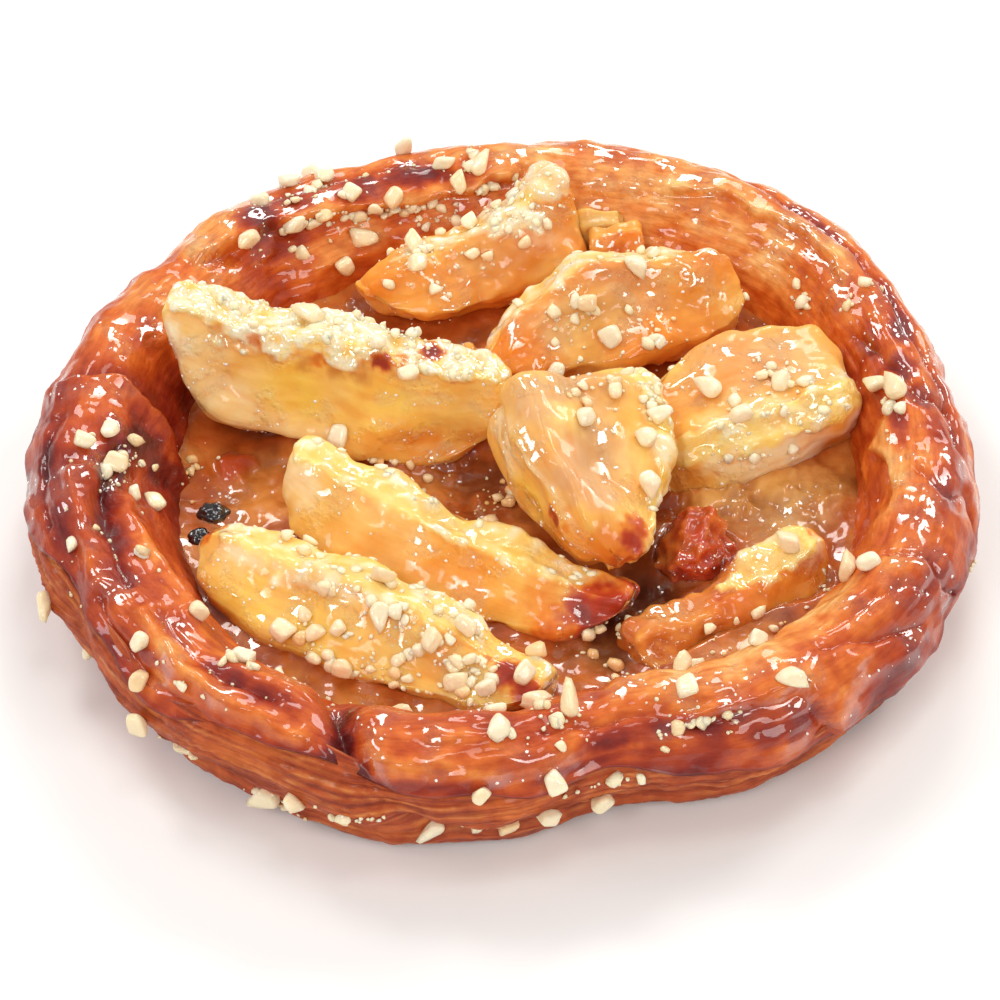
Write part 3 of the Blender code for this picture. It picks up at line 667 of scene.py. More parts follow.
def makeRim():
    around = np.linspace(-180, 180, crust["around"], endpoint=False)
    fine, smooth = caseProfile()
    start = skinStart(around)
    share = np.linspace(0, 1, crust["rimAcross"])
    along = start[:, None] + (fine[-1] - start[:, None]) * share[None, :]
    inset = np.interp(along, fine, smooth[:, 0])
    height = np.interp(along, fine, smooth[:, 1])
    direction = np.broadcast_to(around[:, None], inset.shape)
    bare = shapeCase(direction, inset, height)
    turn = turnOf(inset, height)
    relief = rimRelief(bare, direction, turn) * easeBetween(0.021, 0.0165, inset)
    lip = crust["skinEdge"] * np.exp(-(along - start[:, None]) / 0.0012)
    grid = shapeCase(direction, inset, height, relief + lip)
    baked = bakedAndShadedRim(grid, direction, turn, relief)
    baked = baked + 0.30 * np.exp(-(along - start[:, None]) / 0.0006)
    tint = rampColour(bakedColours, baked)
    more = sumOfBumps(direction, crust["wetter"]) * easeBetween(125, 95, turn)
    clusters = easeBetween(0.04, 0.26, grain(grid, 0.0065, 61) + more)
    clusters = clusters * easeBetween(-0.35, 0.15, grain(grid, 0.0024, 63))
    sticky = clusters * easeBetween(-10, 20, turn) * easeBetween(165, 120, turn)
    rings = closingRings(around, crust["rimClosing"])
    lastInset = np.interp(start, fine, smooth[:, 0]) + 0.0016
    rings.append(shapeCase(around, lastInset, np.interp(start, fine, smooth[:, 1])))
    sticky = np.concatenate([sticky, np.zeros((len(around), len(rings)))], 1)
    run = roundRun(direction, turn * acrossDegree, 0.0036, 0.00065)
    mesh = gridMesh("pastry_rim", np.concatenate([grid, np.stack(rings, 1)], 1), closedAcross=True)
    setTint(mesh, throughRings(tint, rings))
    setNumber(mesh, "sticky", sticky)
    setNumber(mesh, "sugarAndGlints", sticky)
    setRun(mesh, throughRings(run, rings))
    mesh.materials.append(makeFood("glazedPastry"))
    return addPiece("pastry_rim", mesh)


def makeBase():  # the bare, layered outer side, the flat underside and the floor under the cream
    around = np.linspace(-180, 180, crust["around"], endpoint=False)
    fine, smooth = caseProfile()
    top = skinStart(around) + 0.0022
    share = np.linspace(0, 1, crust["baseAcross"])
    along = top[:, None] * share[None, :]
    inset = np.interp(along, fine, smooth[:, 0])
    height = np.interp(along, fine, smooth[:, 1])
    direction = np.broadcast_to(around[:, None], inset.shape)
    under = easeBetween(0.0004, -0.0012, along - skinStart(around)[:, None])
    bare = shapeCase(direction, inset, height)
    relief = layerRelief(bare, direction, height) * easeBetween(0.0001, 0.0022, height) * under
    grid = shapeCase(direction, inset, height, relief, sunk=0.0004 * (1 - under))
    run = alongRim(direction, height)
    layers = grain(run, (0.014, 0.00070, 1.0), 4) + 0.5 * grain(run, (0.006, 0.00032, 1.0), 6)
    tint = plainColour("layerTan", grid)
    tint = mixColours(tint, paint["layerDark"], 0.70 * easeBetween(0.05, 0.6, layers))
    tint = mixColours(tint, paint["layerPale"], 0.65 * easeBetween(0.05, 0.6, -layers))
    tint = mixColours(tint, paint["crustBrown"], 0.55 * easeBetween(0.1, 0.5, grain(grid, 0.009, 71)))
    tint = mixColours(tint, paint["layerDark"], easeBetween(0.0024, 0.0005, height))
    rings = closingRings(around, crust["baseClosing"])
    grid = np.concatenate([grid, np.stack(rings, 1)], 1)
    mesh = gridMesh("pastry_base", grid, capStart=True, capEnd=True)
    setTint(mesh, throughRings(tint, rings))
    setRun(mesh, throughRings(roundRun(direction, height, 0.0120, 0.00050), rings))
    mesh.materials.append(makeFood("bareLayers"))
    return addPiece("pastry_base", mesh)


# the apple slices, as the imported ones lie, and their looks

level = (0, 0, 0, 0, 0)
# ridge and keel: how far the core edge and the skin rise at five even places from end to end
# crumbly: how far the pale, torn flesh reaches from the core's middle at those places
# torn, white, orange and rough: how ragged and pale that flesh is, and the slice's colour and roughness
plainSlice = {"tilt": 0, "angle": 50, "core": 0.0070, "slants": (0, 0), "ridge": level, "keel": level,
              "crumbly": level, "torn": 0, "white": 0, "rough": 0}
slices = {
    "apple_slice_d": {
        "middle": (0.0103, -0.0072, 0.0182), "heading": -91, "tilt": 9, "roll": -93,
        "length": 0.0330, "depth": 0.0240, "angle": 40, "core": 0.0045, "ends": (1.0, 0.50),
        "slants": (0.0085, 0.0030), "keel": (0, 0.0003, 0.0022, 0.0042, 0.0020),
        "crumbly": (0.0070, 0.0046, 0.0036, 0.0034, 0.0012), "torn": 0.9, "white": 0.45, "orange": 0.25},
    "apple_slice_a": {
        "middle": (-0.0230, 0.0120, 0.0166), "heading": -10, "tilt": 4, "roll": 0,
        "length": 0.0492, "depth": 0.0170, "core": 0.0080, "ends": (0.92, 0.62), "slants": (0.0050, 0),
        "ridge": (0.0033, 0.0002, 0.0010, -0.0012, 0.0005),
        "keel": (0.0020, 0.0003, -0.0006, -0.0034, -0.0020),
        "crumbly": (0.0054, 0.0062, 0.0060, 0.0046, 0.0034), "torn": 1.0, "white": 1.0, "orange": 0.08},
    "apple_slice_h": {
        "middle": (0.0149, 0.0258, 0.0148), "heading": 23, "tilt": -2, "roll": -25,
        "length": 0.0410, "depth": 0.0150, "ends": (0.60, 0.95),
        "ridge": (-0.0050, -0.0003, 0.0017, -0.0012, -0.0015), "keel": (0, 0, 0, -0.0008, -0.0010),
        "crumbly": (0.0028, 0.0032, 0.0030, 0.0020, 0.0020), "torn": 0.2, "white": 0.4, "orange": 0.92,
        "rough": 0.00022},
    "apple_slice_g": {
        "middle": (-0.0045, 0.0405, 0.0138), "heading": 29, "tilt": -6, "roll": -18,
        "length": 0.0350, "depth": 0.0150, "angle": 52, "ends": (0.42, 0.98),
        "ridge": (0, -0.0026, -0.0030, -0.0016, 0.0014),
        "crumbly": (0.0005, 0.0012, 0.0026, 0.0056, 0.0050), "torn": 0.5, "white": 0.7, "orange": 0.85,
        "rough": 0.00022},
    "apple_slice_e": {
        "middle": (0.0345, 0.0070, 0.0117), "heading": -155, "tilt": 2, "roll": -46,
        "length": 0.0295, "depth": 0.0185, "angle": 78, "core": 0.0040, "ends": (0.86, 0.75),
        "slants": (-0.0040, 0), "ridge": (-0.0014, 0.0008, 0.0006, -0.0018, -0.0040),
        "keel": (0.0010, 0, 0, 0, 0.0010),
        "crumbly": (0.0028, 0.0032, 0.0032, 0.0030, 0.0024), "torn": 0.6, "white": 0.15, "orange": 0.45},
    "apple_slice_b": {
        "middle": (-0.0057, -0.0166, 0.0114), "heading": -27, "tilt": 1, "roll": -8,
        "length": 0.0510, "depth": 0.0160, "ends": (0.80, 0.50),
        "ridge": (0.0012, -0.0022, -0.0042, -0.0046, -0.0020),
        "crumbly": (0.0042, 0.0038, 0.0036, 0.0032, 0.0010), "torn": 0.45, "white": 0.20, "orange": 0.16},
    "apple_slice_c": {
        "middle": (-0.0168, -0.0300, 0.0112), "heading": -29, "tilt": 1, "roll": -22,
        "length": 0.0520, "depth": 0.0160, "angle": 52, "ends": (0.68, 0.60),
        "ridge": (-0.0014, -0.0028, -0.0016, -0.0034, -0.0025), "keel": (0, 0, 0.0005, 0.0010, 0),
        "crumbly": (0.0044, 0.0050, 0.0044, 0.0034, 0.0020), "torn": 0.35, "white": 0.25, "orange": 0.10},
    "apple_slice_f": {
        "middle": (0.0300, -0.0250, 0.0090), "heading": 32, "tilt": -2, "roll": -8,
        "length": 0.0310, "depth": 0.0140, "ends": (0.60, 0.80),
        "ridge": (-0.0010, -0.0044, -0.0048, -0.0034, 0.0005),
        "crumbly": (0, 0, 0.0010, 0.0030, 0.0034), "torn": 0.5, "orange": 1.3, "rough": 0.00035},
    "apple_chunk_a": {
        "middle": (0.0172, 0.0428, 0.0138), "heading": 10, "roll": -10,
        "length": 0.0080, "depth": 0.0078, "core": 0.0036, "ends": (0.80, 0.80), "orange": 1.0},
    "apple_chunk_c": {
        "middle": (0.0148, 0.0470, 0.0148), "heading": 5, "roll": 20,
        "length": 0.0070, "depth": 0.0060, "core": 0.0036, "ends": (0.80, 0.80), "orange": 0.4},
    "apple_chunk_b": {
        "middle": (0.0262, -0.0150, 0.0090), "heading": -105, "roll": 0,
        "length": 0.0110, "depth": 0.0090, "angle": 66, "core": 0.0030, "ends": (0.85, 0.60), "orange": 1.0,
        "rough": 0.0007},
}
# every slice: its mesh's steps, and the sizes of its flesh's forms and crumbs
sliceGrain = {"spacing": 0.00030, "closeAt": 0.9985, "rounding": 14, "chunkBelow": 0.02, "chunkScale": 0.5,
              "broad": 0.0090, "coarse": 0.0042, "middling": 0.0019, "fine": 0.0009,
              "fibres": (0.0090, 0.0013, 1.0), "crumbSize": 0.0021, "fineCrumbSize": 0.0011,
              # how high each of them stands
              "broadRise": 0.0018, "coarseRise": 0.0007, "middlingRise": 0.00016, "fibreRise": 0.00008,
              "crumb": 0.00085, "crumbStep": 0.00045, "crumbRough": 0.0003,
              # the torn strip's edge: how uneven, how soft, its border's width, and the narrowest strip
              "ragged": 0.0013, "finelyRagged": 0.0006, "soft": 0.0006, "border": 0.0007, "narrowest": 0.0008}

# Where the apple's colour changes, in millimetres: middle, radius, colour, amount.
appleZones = (
    ((-43.0, 11.0, 24.0), 5.5, "appleBeige", 0.7), ((-45.5, 12.0, 23.5), 3.6, "applePale", 0.7),
    ((-44.8, 10.0, 18.8), 3.2, "applePale", 0.6), ((-41.5, 8.0, 18.7), 6.0, "appleBeige", 0.9),
    ((-36.7, 5.7, 15.6), 5.5, "appleBeige", 0.9), ((-31.9, 4.3, 13.9), 5.0, "appleBeige", 0.85),
    ((-26.3, 3.4, 13.0), 4.5, "appleBeige", 0.6), ((-29.0, 7.0, 20.0), 7.0, "appleGold", 0.6),
    ((-16.0, 5.5, 18.0), 6.5, "appleGold", 0.5), ((-39.2, 10.9, 25.9), 1.7, "caramel", 0.35),
    ((-35.0, 10.2, 25.0), 1.7, "caramel", 0.45), ((-31.0, 9.1, 24.1), 1.7, "caramel", 0.50),
    ((-26.8, 8.0, 22.9), 1.8, "caramel", 0.55), ((-22.7, 7.2, 22.2), 1.8, "caramel", 0.55),
    ((-19.0, 6.8, 21.7), 2.0, "caramel", 0.60), ((-11.1, 2.0, 11.5), 4.5, "appleOrange", 0.8),
    ((-4.2, 1.8, 11.7), 4.5, "appleOrange", 0.8), ((-16.6, 2.9, 12.6), 3.5, "appleOrange", 0.5),
    ((-2.0, 8.0, 18.0), 5.0, "appleBeige", 0.4), ((-27.0, -9.0, 16.8), 4.5, "applePale", 0.5),
    ((6.0, -27.0, 12.0), 5.0, "appleOrange", 0.7), ((-4.0, -22.0, 11.0), 6.0, "appleOrange", 0.4),
    ((-32.9, -22.3, 17.2), 4.5, "applePale", 0.7), ((-26.3, -24.0, 16.7), 4.5, "applePale", 0.7),
    ((-19.5, -29.0, 18.2), 3.5, "applePale", 0.5), ((-34.0, -28.0, 13.0), 6.0, "appleGold", 0.6),
    ((-24.0, -34.0, 12.0), 6.0, "appleGold", 0.4), ((-6.0, -38.0, 14.0), 5.0, "appleOrange", 0.45),
    ((5.3, -4.4, 27.0), 6.5, "applePink", 0.8), ((11.0, 1.5, 24.8), 7.5, "applePink", 0.9),
    ((12.6, -10.4, 23.0), 8.0, "applePink", 0.9), ((9.4, -14.2, 23.8), 5.5, "applePink", 1.0),
    ((13.2, -16.0, 21.8), 5.5, "applePink", 0.9), ((2.0, -6.5, 23.0), 3.2, "applePale", 0.5),
    ((8.0, -6.8, 26.0), 2.6, "appleCream", 0.8), ((12.0, -6.9, 26.2), 2.6, "appleCream", 0.8),
    ((-0.7, -2.4, 20.8), 3.6, "applePale", 0.7), ((1.3, -8.5, 20.1), 3.6, "applePale", 0.6),
    ((2.7, -11.6, 17.5), 4.0, "appleGold", 0.7), ((4.7, -14.4, 15.5), 4.0, "appleGold", 0.7),
    ((8.0, -19.0, 14.5), 4.5, "appleOrange", 0.9), ((9.2, -20.5, 19.2), 3.0, "appleOrange", 0.7),
    ((11.9, -22.1, 16.7), 6.0, "appleOrange", 1.0), ((14.5, -22.4, 15.0), 5.0, "appleOrange", 1.0),
    ((19.5, -8.0, 21.0), 3.0, "appleCream", 0.6),
    ((33.6, 12.5, 19.8), 10.0, "appleOrange", 0.60), ((33.6, 10.5, 19.8), 9.0, "applePink", 0.5),
    ((42.0, 13.3, 19.6), 7.0, "applePink", 0.6),
    ((48.3, 9.1, 18.0), 3.2, "applePale", 0.9), ((48.9, 5.4, 14.5), 3.2, "applePale", 0.8),
    # painted light: E's front face, about (36, -1.5, 14) and (41, 3, 13), is lightened with applePale where
    # the lamps leave it in shade
    ((34.0, -1.5, 13.5), 8.0, "appleGold", 0.70), ((36.0, -1.5, 14.0), 8.0, "applePale", 0.75),
    ((26.5, -3.0, 11.0), 3.5, "appleOrange", 0.5), ((-13.0, -12.0, 15.0), 9.0, "appleBeige", 0.35),
    # partly painted shade: the caramel zone on this line darkens F's left end, beside the shaded gap at B's
    # tip
    ((18.0, -32.5, 10.0), 4.5, "caramel", 0.65),
    ((41.0, 3.0, 13.0), 7.0, "applePale", 0.8), ((36.0, 2.5, 19.0), 4.0, "appleCream", 0.6),
    ((37.3, -18.8, 13.7), 4.0, "applePale", 0.6), ((41.1, -19.8, 15.3), 4.0, "applePale", 0.7),
    ((-17.4, 31.1, 16.2), 6.5, "appleOrange", 0.55), ((0.0, 34.9, 14.8), 5.5, "appleOrange", 0.55),
    ((4.0, 42.0, 19.0), 5.0, "applePale", 0.35), ((15.7, 30.8, 22.4), 3.0, "applePale", 0.4),
    ((28.0, 27.0, 18.0), 5.0, "appleOrange", 0.4), ((8.5, 20.3, 19.0), 5.0, "appleBeige", 0.4),
    ((26.2, -15.0, 9.0), 9.0, "appleRed", 0.95), ((26.2, -16.0, 8.5), 9.0, "burnt", 0.40),
    ((24.0, -29.0, 11.0), 8.0, "caramel", 0.52), ((31.0, -26.5, 9.5), 8.0, "caramel", 0.60),
    ((14.8, 47.0, 14.8), 5.0, "appleOlive", 0.6),
    ((6.0, 20.5, 19.0), 5.0, "applePink", 0.6), ((16.0, 25.0, 20.0), 7.0, "applePink", 0.5),
    ((-2.0, 38.0, 18.0), 7.0, "applePink", 0.35), ((14.0, -31.0, 10.6), 7.5, "appleRed", 0.50),
)
# Browned places on the apple, in millimetres: middle, radius, darkness.
appleScorches = {
    "apple_slice_a": (((-16.2, 7.4, 23.6), 1.9, 0.95), ((-13.6, 8.2, 23.0), 1.3, 0.60),
                      ((-9.4, 10.3, 22.6), 1.9, 0.95), ((-25.0, 8.2, 23.5), 1.6, 0.45),
                      ((-33.5, 10.0, 25.0), 1.5, 0.40), ((-6.0, 8.0, 20.0), 1.4, 0.35)),
    "apple_slice_b": (((14.8, -28.7, 13.5), 5.5, 0.90), ((13.0, -31.2, 10.6), 6.5, 1.00),
                      ((17.0, -28.0, 10.0), 6.5, 1.15), ((7.9, -30.2, 10.0), 4.5, 0.60),
                      ((11.1, -27.6, 14.8), 2.6, 0.45)),
    "apple_slice_c": (((1.3, -41.9, 15.0), 3.2, 0.95), ((3.4, -44.0, 13.3), 2.6, 0.80),
                      ((-2.0, -41.5, 12.0), 2.2, 0.45), ((-38.6, -17.0, 14.0), 2.6, 0.75)),
    "apple_slice_d": (((6.9, -18.2, 18.8), 1.7, 1.00), ((9.2, -20.4, 19.2), 1.2, 0.45),
                      ((17.8, -19.4, 18.2), 2.4, 0.60), ((17.0, -21.4, 17.2), 2.8, 0.80),
                      ((15.6, -23.0, 15.6), 2.6, 0.50)),
    "apple_slice_f": (((29.2, -26.8, 11.6), 1.2, 0.65),),
    "apple_slice_g": (((-20.0, 30.0, 15.5), 2.0, 0.30),),
    "apple_chunk_a": (((16.6, 41.2, 15.5), 2.6, 0.50),),
    "apple_chunk_b": (((28.6, -17.6, 9.0), 5.5, 1.00), ((25.0, -18.5, 8.5), 5.5, 0.90),
                      ((26.7, -18.8, 12.4), 3.5, 0.55), ((26.0, -11.0, 9.0), 4.0, 0.70)),
}
# Sharp, sticky folds on the apple, in millimetres: line, half width, height, and how strong the painted
# highlight along the fold is.
appleFolds = {
    "apple_slice_d": (
        (((2.4, -9.8, 24.2), (3.7, -12.2, 23.3), (5.3, -14.6, 22.6), (6.9, -16.7, 22.1), (7.9, -18.5, 21.3)),
         0.55, 0.50, 0.9),
        (((3.0, -5.0, 26.6), (8.0, -7.4, 26.6), (12.0, -7.4, 26.2), (18.8, -7.2, 22.5)), 0.9, 0.55, 0.3),
        (((8.0, -19.4, 20.6), (10.0, -20.4, 20.2), (12.5, -20.6, 19.8), (15.5, -19.4, 19.6)),
         0.5, 0.30, 0.5)),
    "apple_slice_e": (
        (((27.4, -1.0, 18.6), (33.0, 1.0, 19.6), (40.0, 2.4, 19.0), (46.0, 4.0, 17.0)), 0.8, 0.45, 0.6),),
    "apple_slice_h": ((((2.0, 23.0, 20.5), (8.5, 24.2, 21.8), (16.0, 27.5, 22.0)), 0.8, 0.45, 0.3),),
    "apple_slice_f": ((((20.0, -31.0, 12.4), (28.0, -25.5, 12.6), (35.0, -21.0, 14.0)), 0.8, 0.45, 0.2),),
}


def awayFromLine(points, line):  # how far each point is from a line of places
    nearest = np.full(points.shape[:-1], 1.0)
    corners = np.array(line) * mm
    for first, second in zip(corners, corners[1:]):
        way = second - first
        share = np.clip((points - first) @ way / (way @ way), 0, 1)
        nearest = np.minimum(nearest, np.linalg.norm(points - first - share[..., None] * way, axis=-1))
    return nearest


def atShare(values, share):  # a smooth line through five even places from -1 to 1
    place = (share + 1) / 2 * (len(values) - 1)
    index = min(int(place), len(values) - 2)
    between = place - index
    before = values[index - 1] if index > 0 else 2 * values[0] - values[1]
    after = values[index + 2] if index + 2 < len(values) else 2 * values[-1] - values[-2]
    start, end = values[index], values[index + 1]
    first = (end - before) * between
    second = (2 * before - 5 * start + 4 * end - after) * between ** 2
    third = (3 * start - before - 3 * end + after) * between ** 3
    return start + (first + second + third) / 2


def sliceSection(share, look, turns):  # one cut across the slice: skin, cut face, core, cut face
    end = look["ends"][0] if share < 0 else look["ends"][1]
    slant = look["slants"][0] if share < 0 else -look["slants"][1]
    depth, core = look["depth"], look["core"]
    fullness = (1 - abs(share) ** (4 + 8 * end)) ** 0.4
    here = depth * (1 - (1 - end) * share * share) * fullness
    half = radians(look["angle"] / 2) * (0.35 + 0.65 * fullness)
    ridge, keel = atShare(look["ridge"], share), atShare(look["keel"], share)
    rise = core + depth / 2 - 0.3 * (depth - here)
    lean = slant * share * share * here / depth
    along = share * look["length"] / 2
    corners = []
    for turn in (-1, -0.55, 0, 0.55, 1):
        reach = (core + here) * (1 - 0.10 * turn ** 4)
        corners.append((along + lean, reach * sin(half * turn), rise + keel - reach * cos(half * turn)))
    middle = core + here * 0.52
    flank = (along + lean / 2, middle * sin(half) * 0.93, rise + (keel + ridge) / 2 - middle * cos(half))
    corners.append(flank)
    for turn in (1, 0, -1):
        corners.append((along, core * sin(half * turn) * 0.9, rise + ridge - core * cos(half * turn)))
    corners.append((flank[0], -flank[1], flank[2]))
    corners.append(corners[0])
    corners = np.array(corners)
    return np.stack([np.interp(turns, np.arange(len(corners)), corners[:, axis]) for axis in range(3)], -1)


def sliceTurns(look):  # even steps round a slice's section; 0 to 4 is skin, 6 to 8 is core
    middle = sliceSection(0.0, look, np.arange(11.0))
    lengths = np.concatenate([[0], np.cumsum(np.linalg.norm(np.diff(middle, axis=0), axis=1))])
    count = int(lengths[-1] / sliceGrain["spacing"])
    return np.interp(np.linspace(0, lengths[-1], count, endpoint=False), lengths, np.arange(11.0)), lengths


def slicePlace(look):
    heading = Matrix.Rotation(radians(look["heading"]), 4, "Z")
    tilt = Matrix.Rotation(radians(look["tilt"]), 4, "Y")
    roll = Matrix.Rotation(radians(look["roll"]), 4, "X")
    return np.array(Matrix.Translation(look["middle"]) @ (heading @ tilt) @ roll)


def sliceGrid(look):  # the bare form's points[along, round], how far each is from the core, and its share
    turns, lengths = sliceTurns(look)
    count = max(24, int(look["length"] / sliceGrain["spacing"]))
    shares = sliceGrain["closeAt"] * np.sin(pi * (np.linspace(0, 1, count) - 0.5))
    grid = np.array([sliceSection(share, look, turns) for share in shares])
    rounding = sliceGrain["rounding"]
    if look["length"] <= sliceGrain["chunkBelow"]:
        rounding //= 3
    for step in range(rounding):  # rounds the long edges and the ends
        grid = (np.roll(grid, 1, axis=1) + 2 * grid + np.roll(grid, -1, axis=1)) / 4
        if step % 2:
            grid[1:-1] = (grid[:-2] + 2 * grid[1:-1] + grid[2:]) / 4
    fromCore = np.abs(np.interp(turns, np.arange(11.0), lengths) - lengths[7])
    place = slicePlace(look)
    grid = grid @ place[:3, :3].T + place[:3, 3]
    return grid, np.broadcast_to(fromCore, grid.shape[:2]), np.broadcast_to(shares[:, None], grid.shape[:2])


def gridNormals(grid):  # outward normals of a tube of points
    along = np.gradient(grid, axis=0)
    across = np.roll(grid, -1, axis=1) - np.roll(grid, 1, axis=1)
    normals = np.cross(along, across)
    normals /= np.maximum(np.linalg.norm(normals, axis=-1, keepdims=True), 1e-12)
    middle = grid.mean(axis=1, keepdims=True)
    outwards = np.sum(normals * (grid - middle), axis=-1)
    return normals * np.sign(np.sum(outwards))


def fleshOf(name, look, bare, fromCore, share):  # the noise and the torn strip that shape and colour a slice
    seed = sum(name.encode())
    size = 1.0 if look["length"] > sliceGrain["chunkBelow"] else sliceGrain["chunkScale"]
    flesh = SimpleNamespace(name=name, look=look, seed=seed, size=size, share=share)
    flesh.broad = grain(bare, sliceGrain["broad"] * size, seed + 1)
    flesh.coarse = grain(bare, sliceGrain["coarse"] * size, seed)
    flesh.middling = grain(bare, sliceGrain["middling"], seed + 3)
    flesh.fine = grain(bare, sliceGrain["fine"], seed + 7)
    flesh.run = np.stack([share * look["length"] / 2, fromCore, 0 * fromCore], -1)
    flesh.fibres = grain(flesh.run, sliceGrain["fibres"], seed + 11) * easeBetween(0.95, 0.55, np.abs(share))
    # the torn, pale flesh along the core edge, with a ragged border
    reach = np.array([atShare(look["crumbly"], place) for place in share[:, 0]])[:, None]
    reach = reach * (1 + 0.45 * flesh.coarse) * easeBetween(1.0, 0.93, np.abs(share))
    inside = reach - fromCore + sliceGrain["ragged"] * flesh.middling
    inside = inside + sliceGrain["finelyRagged"] * flesh.fine
    wide = reach > sliceGrain["narrowest"]
    flesh.strip = easeBetween(-sliceGrain["soft"], sliceGrain["soft"], inside) * wide
    flesh.border = np.exp(-((inside / sliceGrain["border"]) ** 2)) * wide
    torn = flesh.strip > 0
    flesh.crumbs = (lumps(bare, sliceGrain["crumbSize"], seed + 5, torn)
                    + 0.4 * lumps(bare, sliceGrain["fineCrumbSize"], seed + 6, torn))
    return flesh


def fleshRelief(bare, normals, flesh):  # how far the slice stands out, and where it is folded
    look, rough = flesh.look, flesh.look["rough"]
    soft = sliceGrain["broadRise"] * flesh.broad * flesh.size
    soft = soft + sliceGrain["coarseRise"] * flesh.coarse * flesh.size
    soft = soft + sliceGrain["middlingRise"] * flesh.middling
    crumbled = sliceGrain["crumbStep"] + sliceGrain["crumb"] * flesh.crumbs
    crumbled = crumbled + sliceGrain["crumbRough"] * flesh.middling
    relief = soft + look["torn"] * flesh.strip * crumbled
    relief = relief + (1 - flesh.strip) * sliceGrain["fibreRise"] * flesh.fibres
    relief = relief + rough * flesh.middling + 0.3 * rough * flesh.fine
    foldHighlight = np.zeros(relief.shape)
    for line, width, height, highlightStrength in appleFolds.get(flesh.name, ()):
        away = awayFromLine(bare + normals * soft[..., None], line) * (1 + 0.5 * flesh.middling)
        fold = np.exp(-((away / (width * mm)) ** 2)) * (0.75 + 0.6 * flesh.coarse)
        relief = relief + height * mm * fold
        # painted highlight: how strongly the fold's line is to be lightened
        foldHighlight = np.maximum(foldHighlight, highlightStrength * fold)
    return relief * easeBetween(0.0, 0.03, 1 - np.abs(flesh.share)), foldHighlight


def fleshTint(grid, flesh, foldHighlight, patchy):
    look, orange = flesh.look, paint["appleOrange"]
    tint = plainColour("appleYellow", grid)
    tint = mixColours(tint, orange, look["orange"] * (0.90 + 0.6 * patchy) + 0.25 * patchy)
    for middle, radius, colour, amount in appleZones:
        tint = mixColours(tint, paint[colour], amount * spotAt(grid, middle, radius))
    tint = mixColours(tint, orange, 0.25 * easeBetween(0.1, 0.5, -flesh.fibres))
    ragged = look["torn"] * flesh.border * easeBetween(-0.3, 0.3, flesh.coarse)
    tint = mixColours(tint, orange, 0.50 * ragged)
    white = easeBetween(-0.35, 0.35, look["white"] - 0.5 + 0.8 * flesh.middling + 0.5 * flesh.coarse)
    pale = mixColours(plainColour("appleCream", grid), paint["applePale"], white)
    tint = tint + (pale - tint) * (flesh.strip * (0.80 + 0.20 * flesh.middling))[..., None]
    # painted shade: the creases between the crumbs are tinted a deeper gold
    shadedGaps = look["torn"] * flesh.strip * easeBetween(0.08, -0.25, flesh.crumbs)
    tint = mixColours(tint, paint["appleGold"], 0.80 * shadedGaps)
    # painted highlight: the lines along the folds are lightened toward white
    return mixColours(tint, paint["applePale"], 0.8 * foldHighlight)


def scorch(tint, grid, flesh):  # orange round each browned place, then red, then burnt in its middle
    streaks = 0.95 + 0.10 * grain(flesh.run, (0.0040, 0.0012, 1.0), flesh.seed + 12) + 0.12 * flesh.middling
    browned = np.zeros(streaks.shape)
    for middle, radius, dark in appleScorches.get(flesh.name, ()):
        browned = np.maximum(browned, dark * spotAt(grid, middle, radius) * streaks)
    tint = np.minimum(tint, mixColours(tint, paint["appleOrange"], easeBetween(0.0, 0.30, browned)))
    tint = mixColours(tint, paint["appleRed"], easeBetween(0.15, 0.75, browned))
    return mixColours(tint, paint["burnt"], 0.85 * easeBetween(0.60, 1.1, browned))


def makeSlice(name, material):  # the dressed slice, and its bare form's points
    look = {**plainSlice, **slices[name]}
    bare, fromCore, share = sliceGrid(look)
    flesh = fleshOf(name, look, bare, fromCore, share)
    normals = gridNormals(bare)
    relief, foldHighlight = fleshRelief(bare, normals, flesh)
    grid = bare + normals * relief[..., None]
    patchy = grain(grid, 0.0080, flesh.seed + 13)
    tint = scorch(fleshTint(grid, flesh, foldHighlight, patchy), grid, flesh)
    sticky = easeBetween(-0.08, 0.12, grain(grid, 0.0060, flesh.seed + 19))
    sticky = sticky * easeBetween(-0.4, 0.10, flesh.middling)
    # where the near-white grains lie, which are partly sugar and partly painted glints
    sugarAndGlints = sticky * (1 - flesh.strip)
    sticky = np.maximum(sticky, look["white"] * flesh.strip * easeBetween(-0.4, 0.0, flesh.fine))
    sticky = np.maximum(sticky, np.clip(1.4 * foldHighlight, 0, 1))
    crumbly = look["torn"] * flesh.strip * easeBetween(-0.25, 0.25, flesh.coarse)
    crumbly = crumbly * easeBetween(1.0, 0.7, np.abs(share))
    mesh = gridMesh(name + "_flesh", np.swapaxes(grid, 0, 1), capStart=True, capEnd=True)
    setTint(mesh, np.swapaxes(tint, 0, 1))
    setRun(mesh, np.swapaxes(flesh.run / (0.0070, 0.0011, 1.0) + 0.3 * patchy[..., None], 0, 1))
    for label, values in (("sugarAndGlints", sugarAndGlints), ("sticky", sticky), ("crumbly", crumbly)):
        setNumber(mesh, label, np.swapaxes(values, 0, 1))
    mesh.materials.append(material)
    return addPiece(name + "_flesh", mesh), bare


# the cream

filling = {"level": 0.0094, "dip": 0.0014, "wave": 0.0010, "rings": 160, "around": 460,
           "climb": 0.0011, "climbReach": 0.0013,  # how it creeps up the slices
           "ripples": ((0.00045, 0.0044, 81), (0.00022, 0.0017, 83))}  # height, size, shift
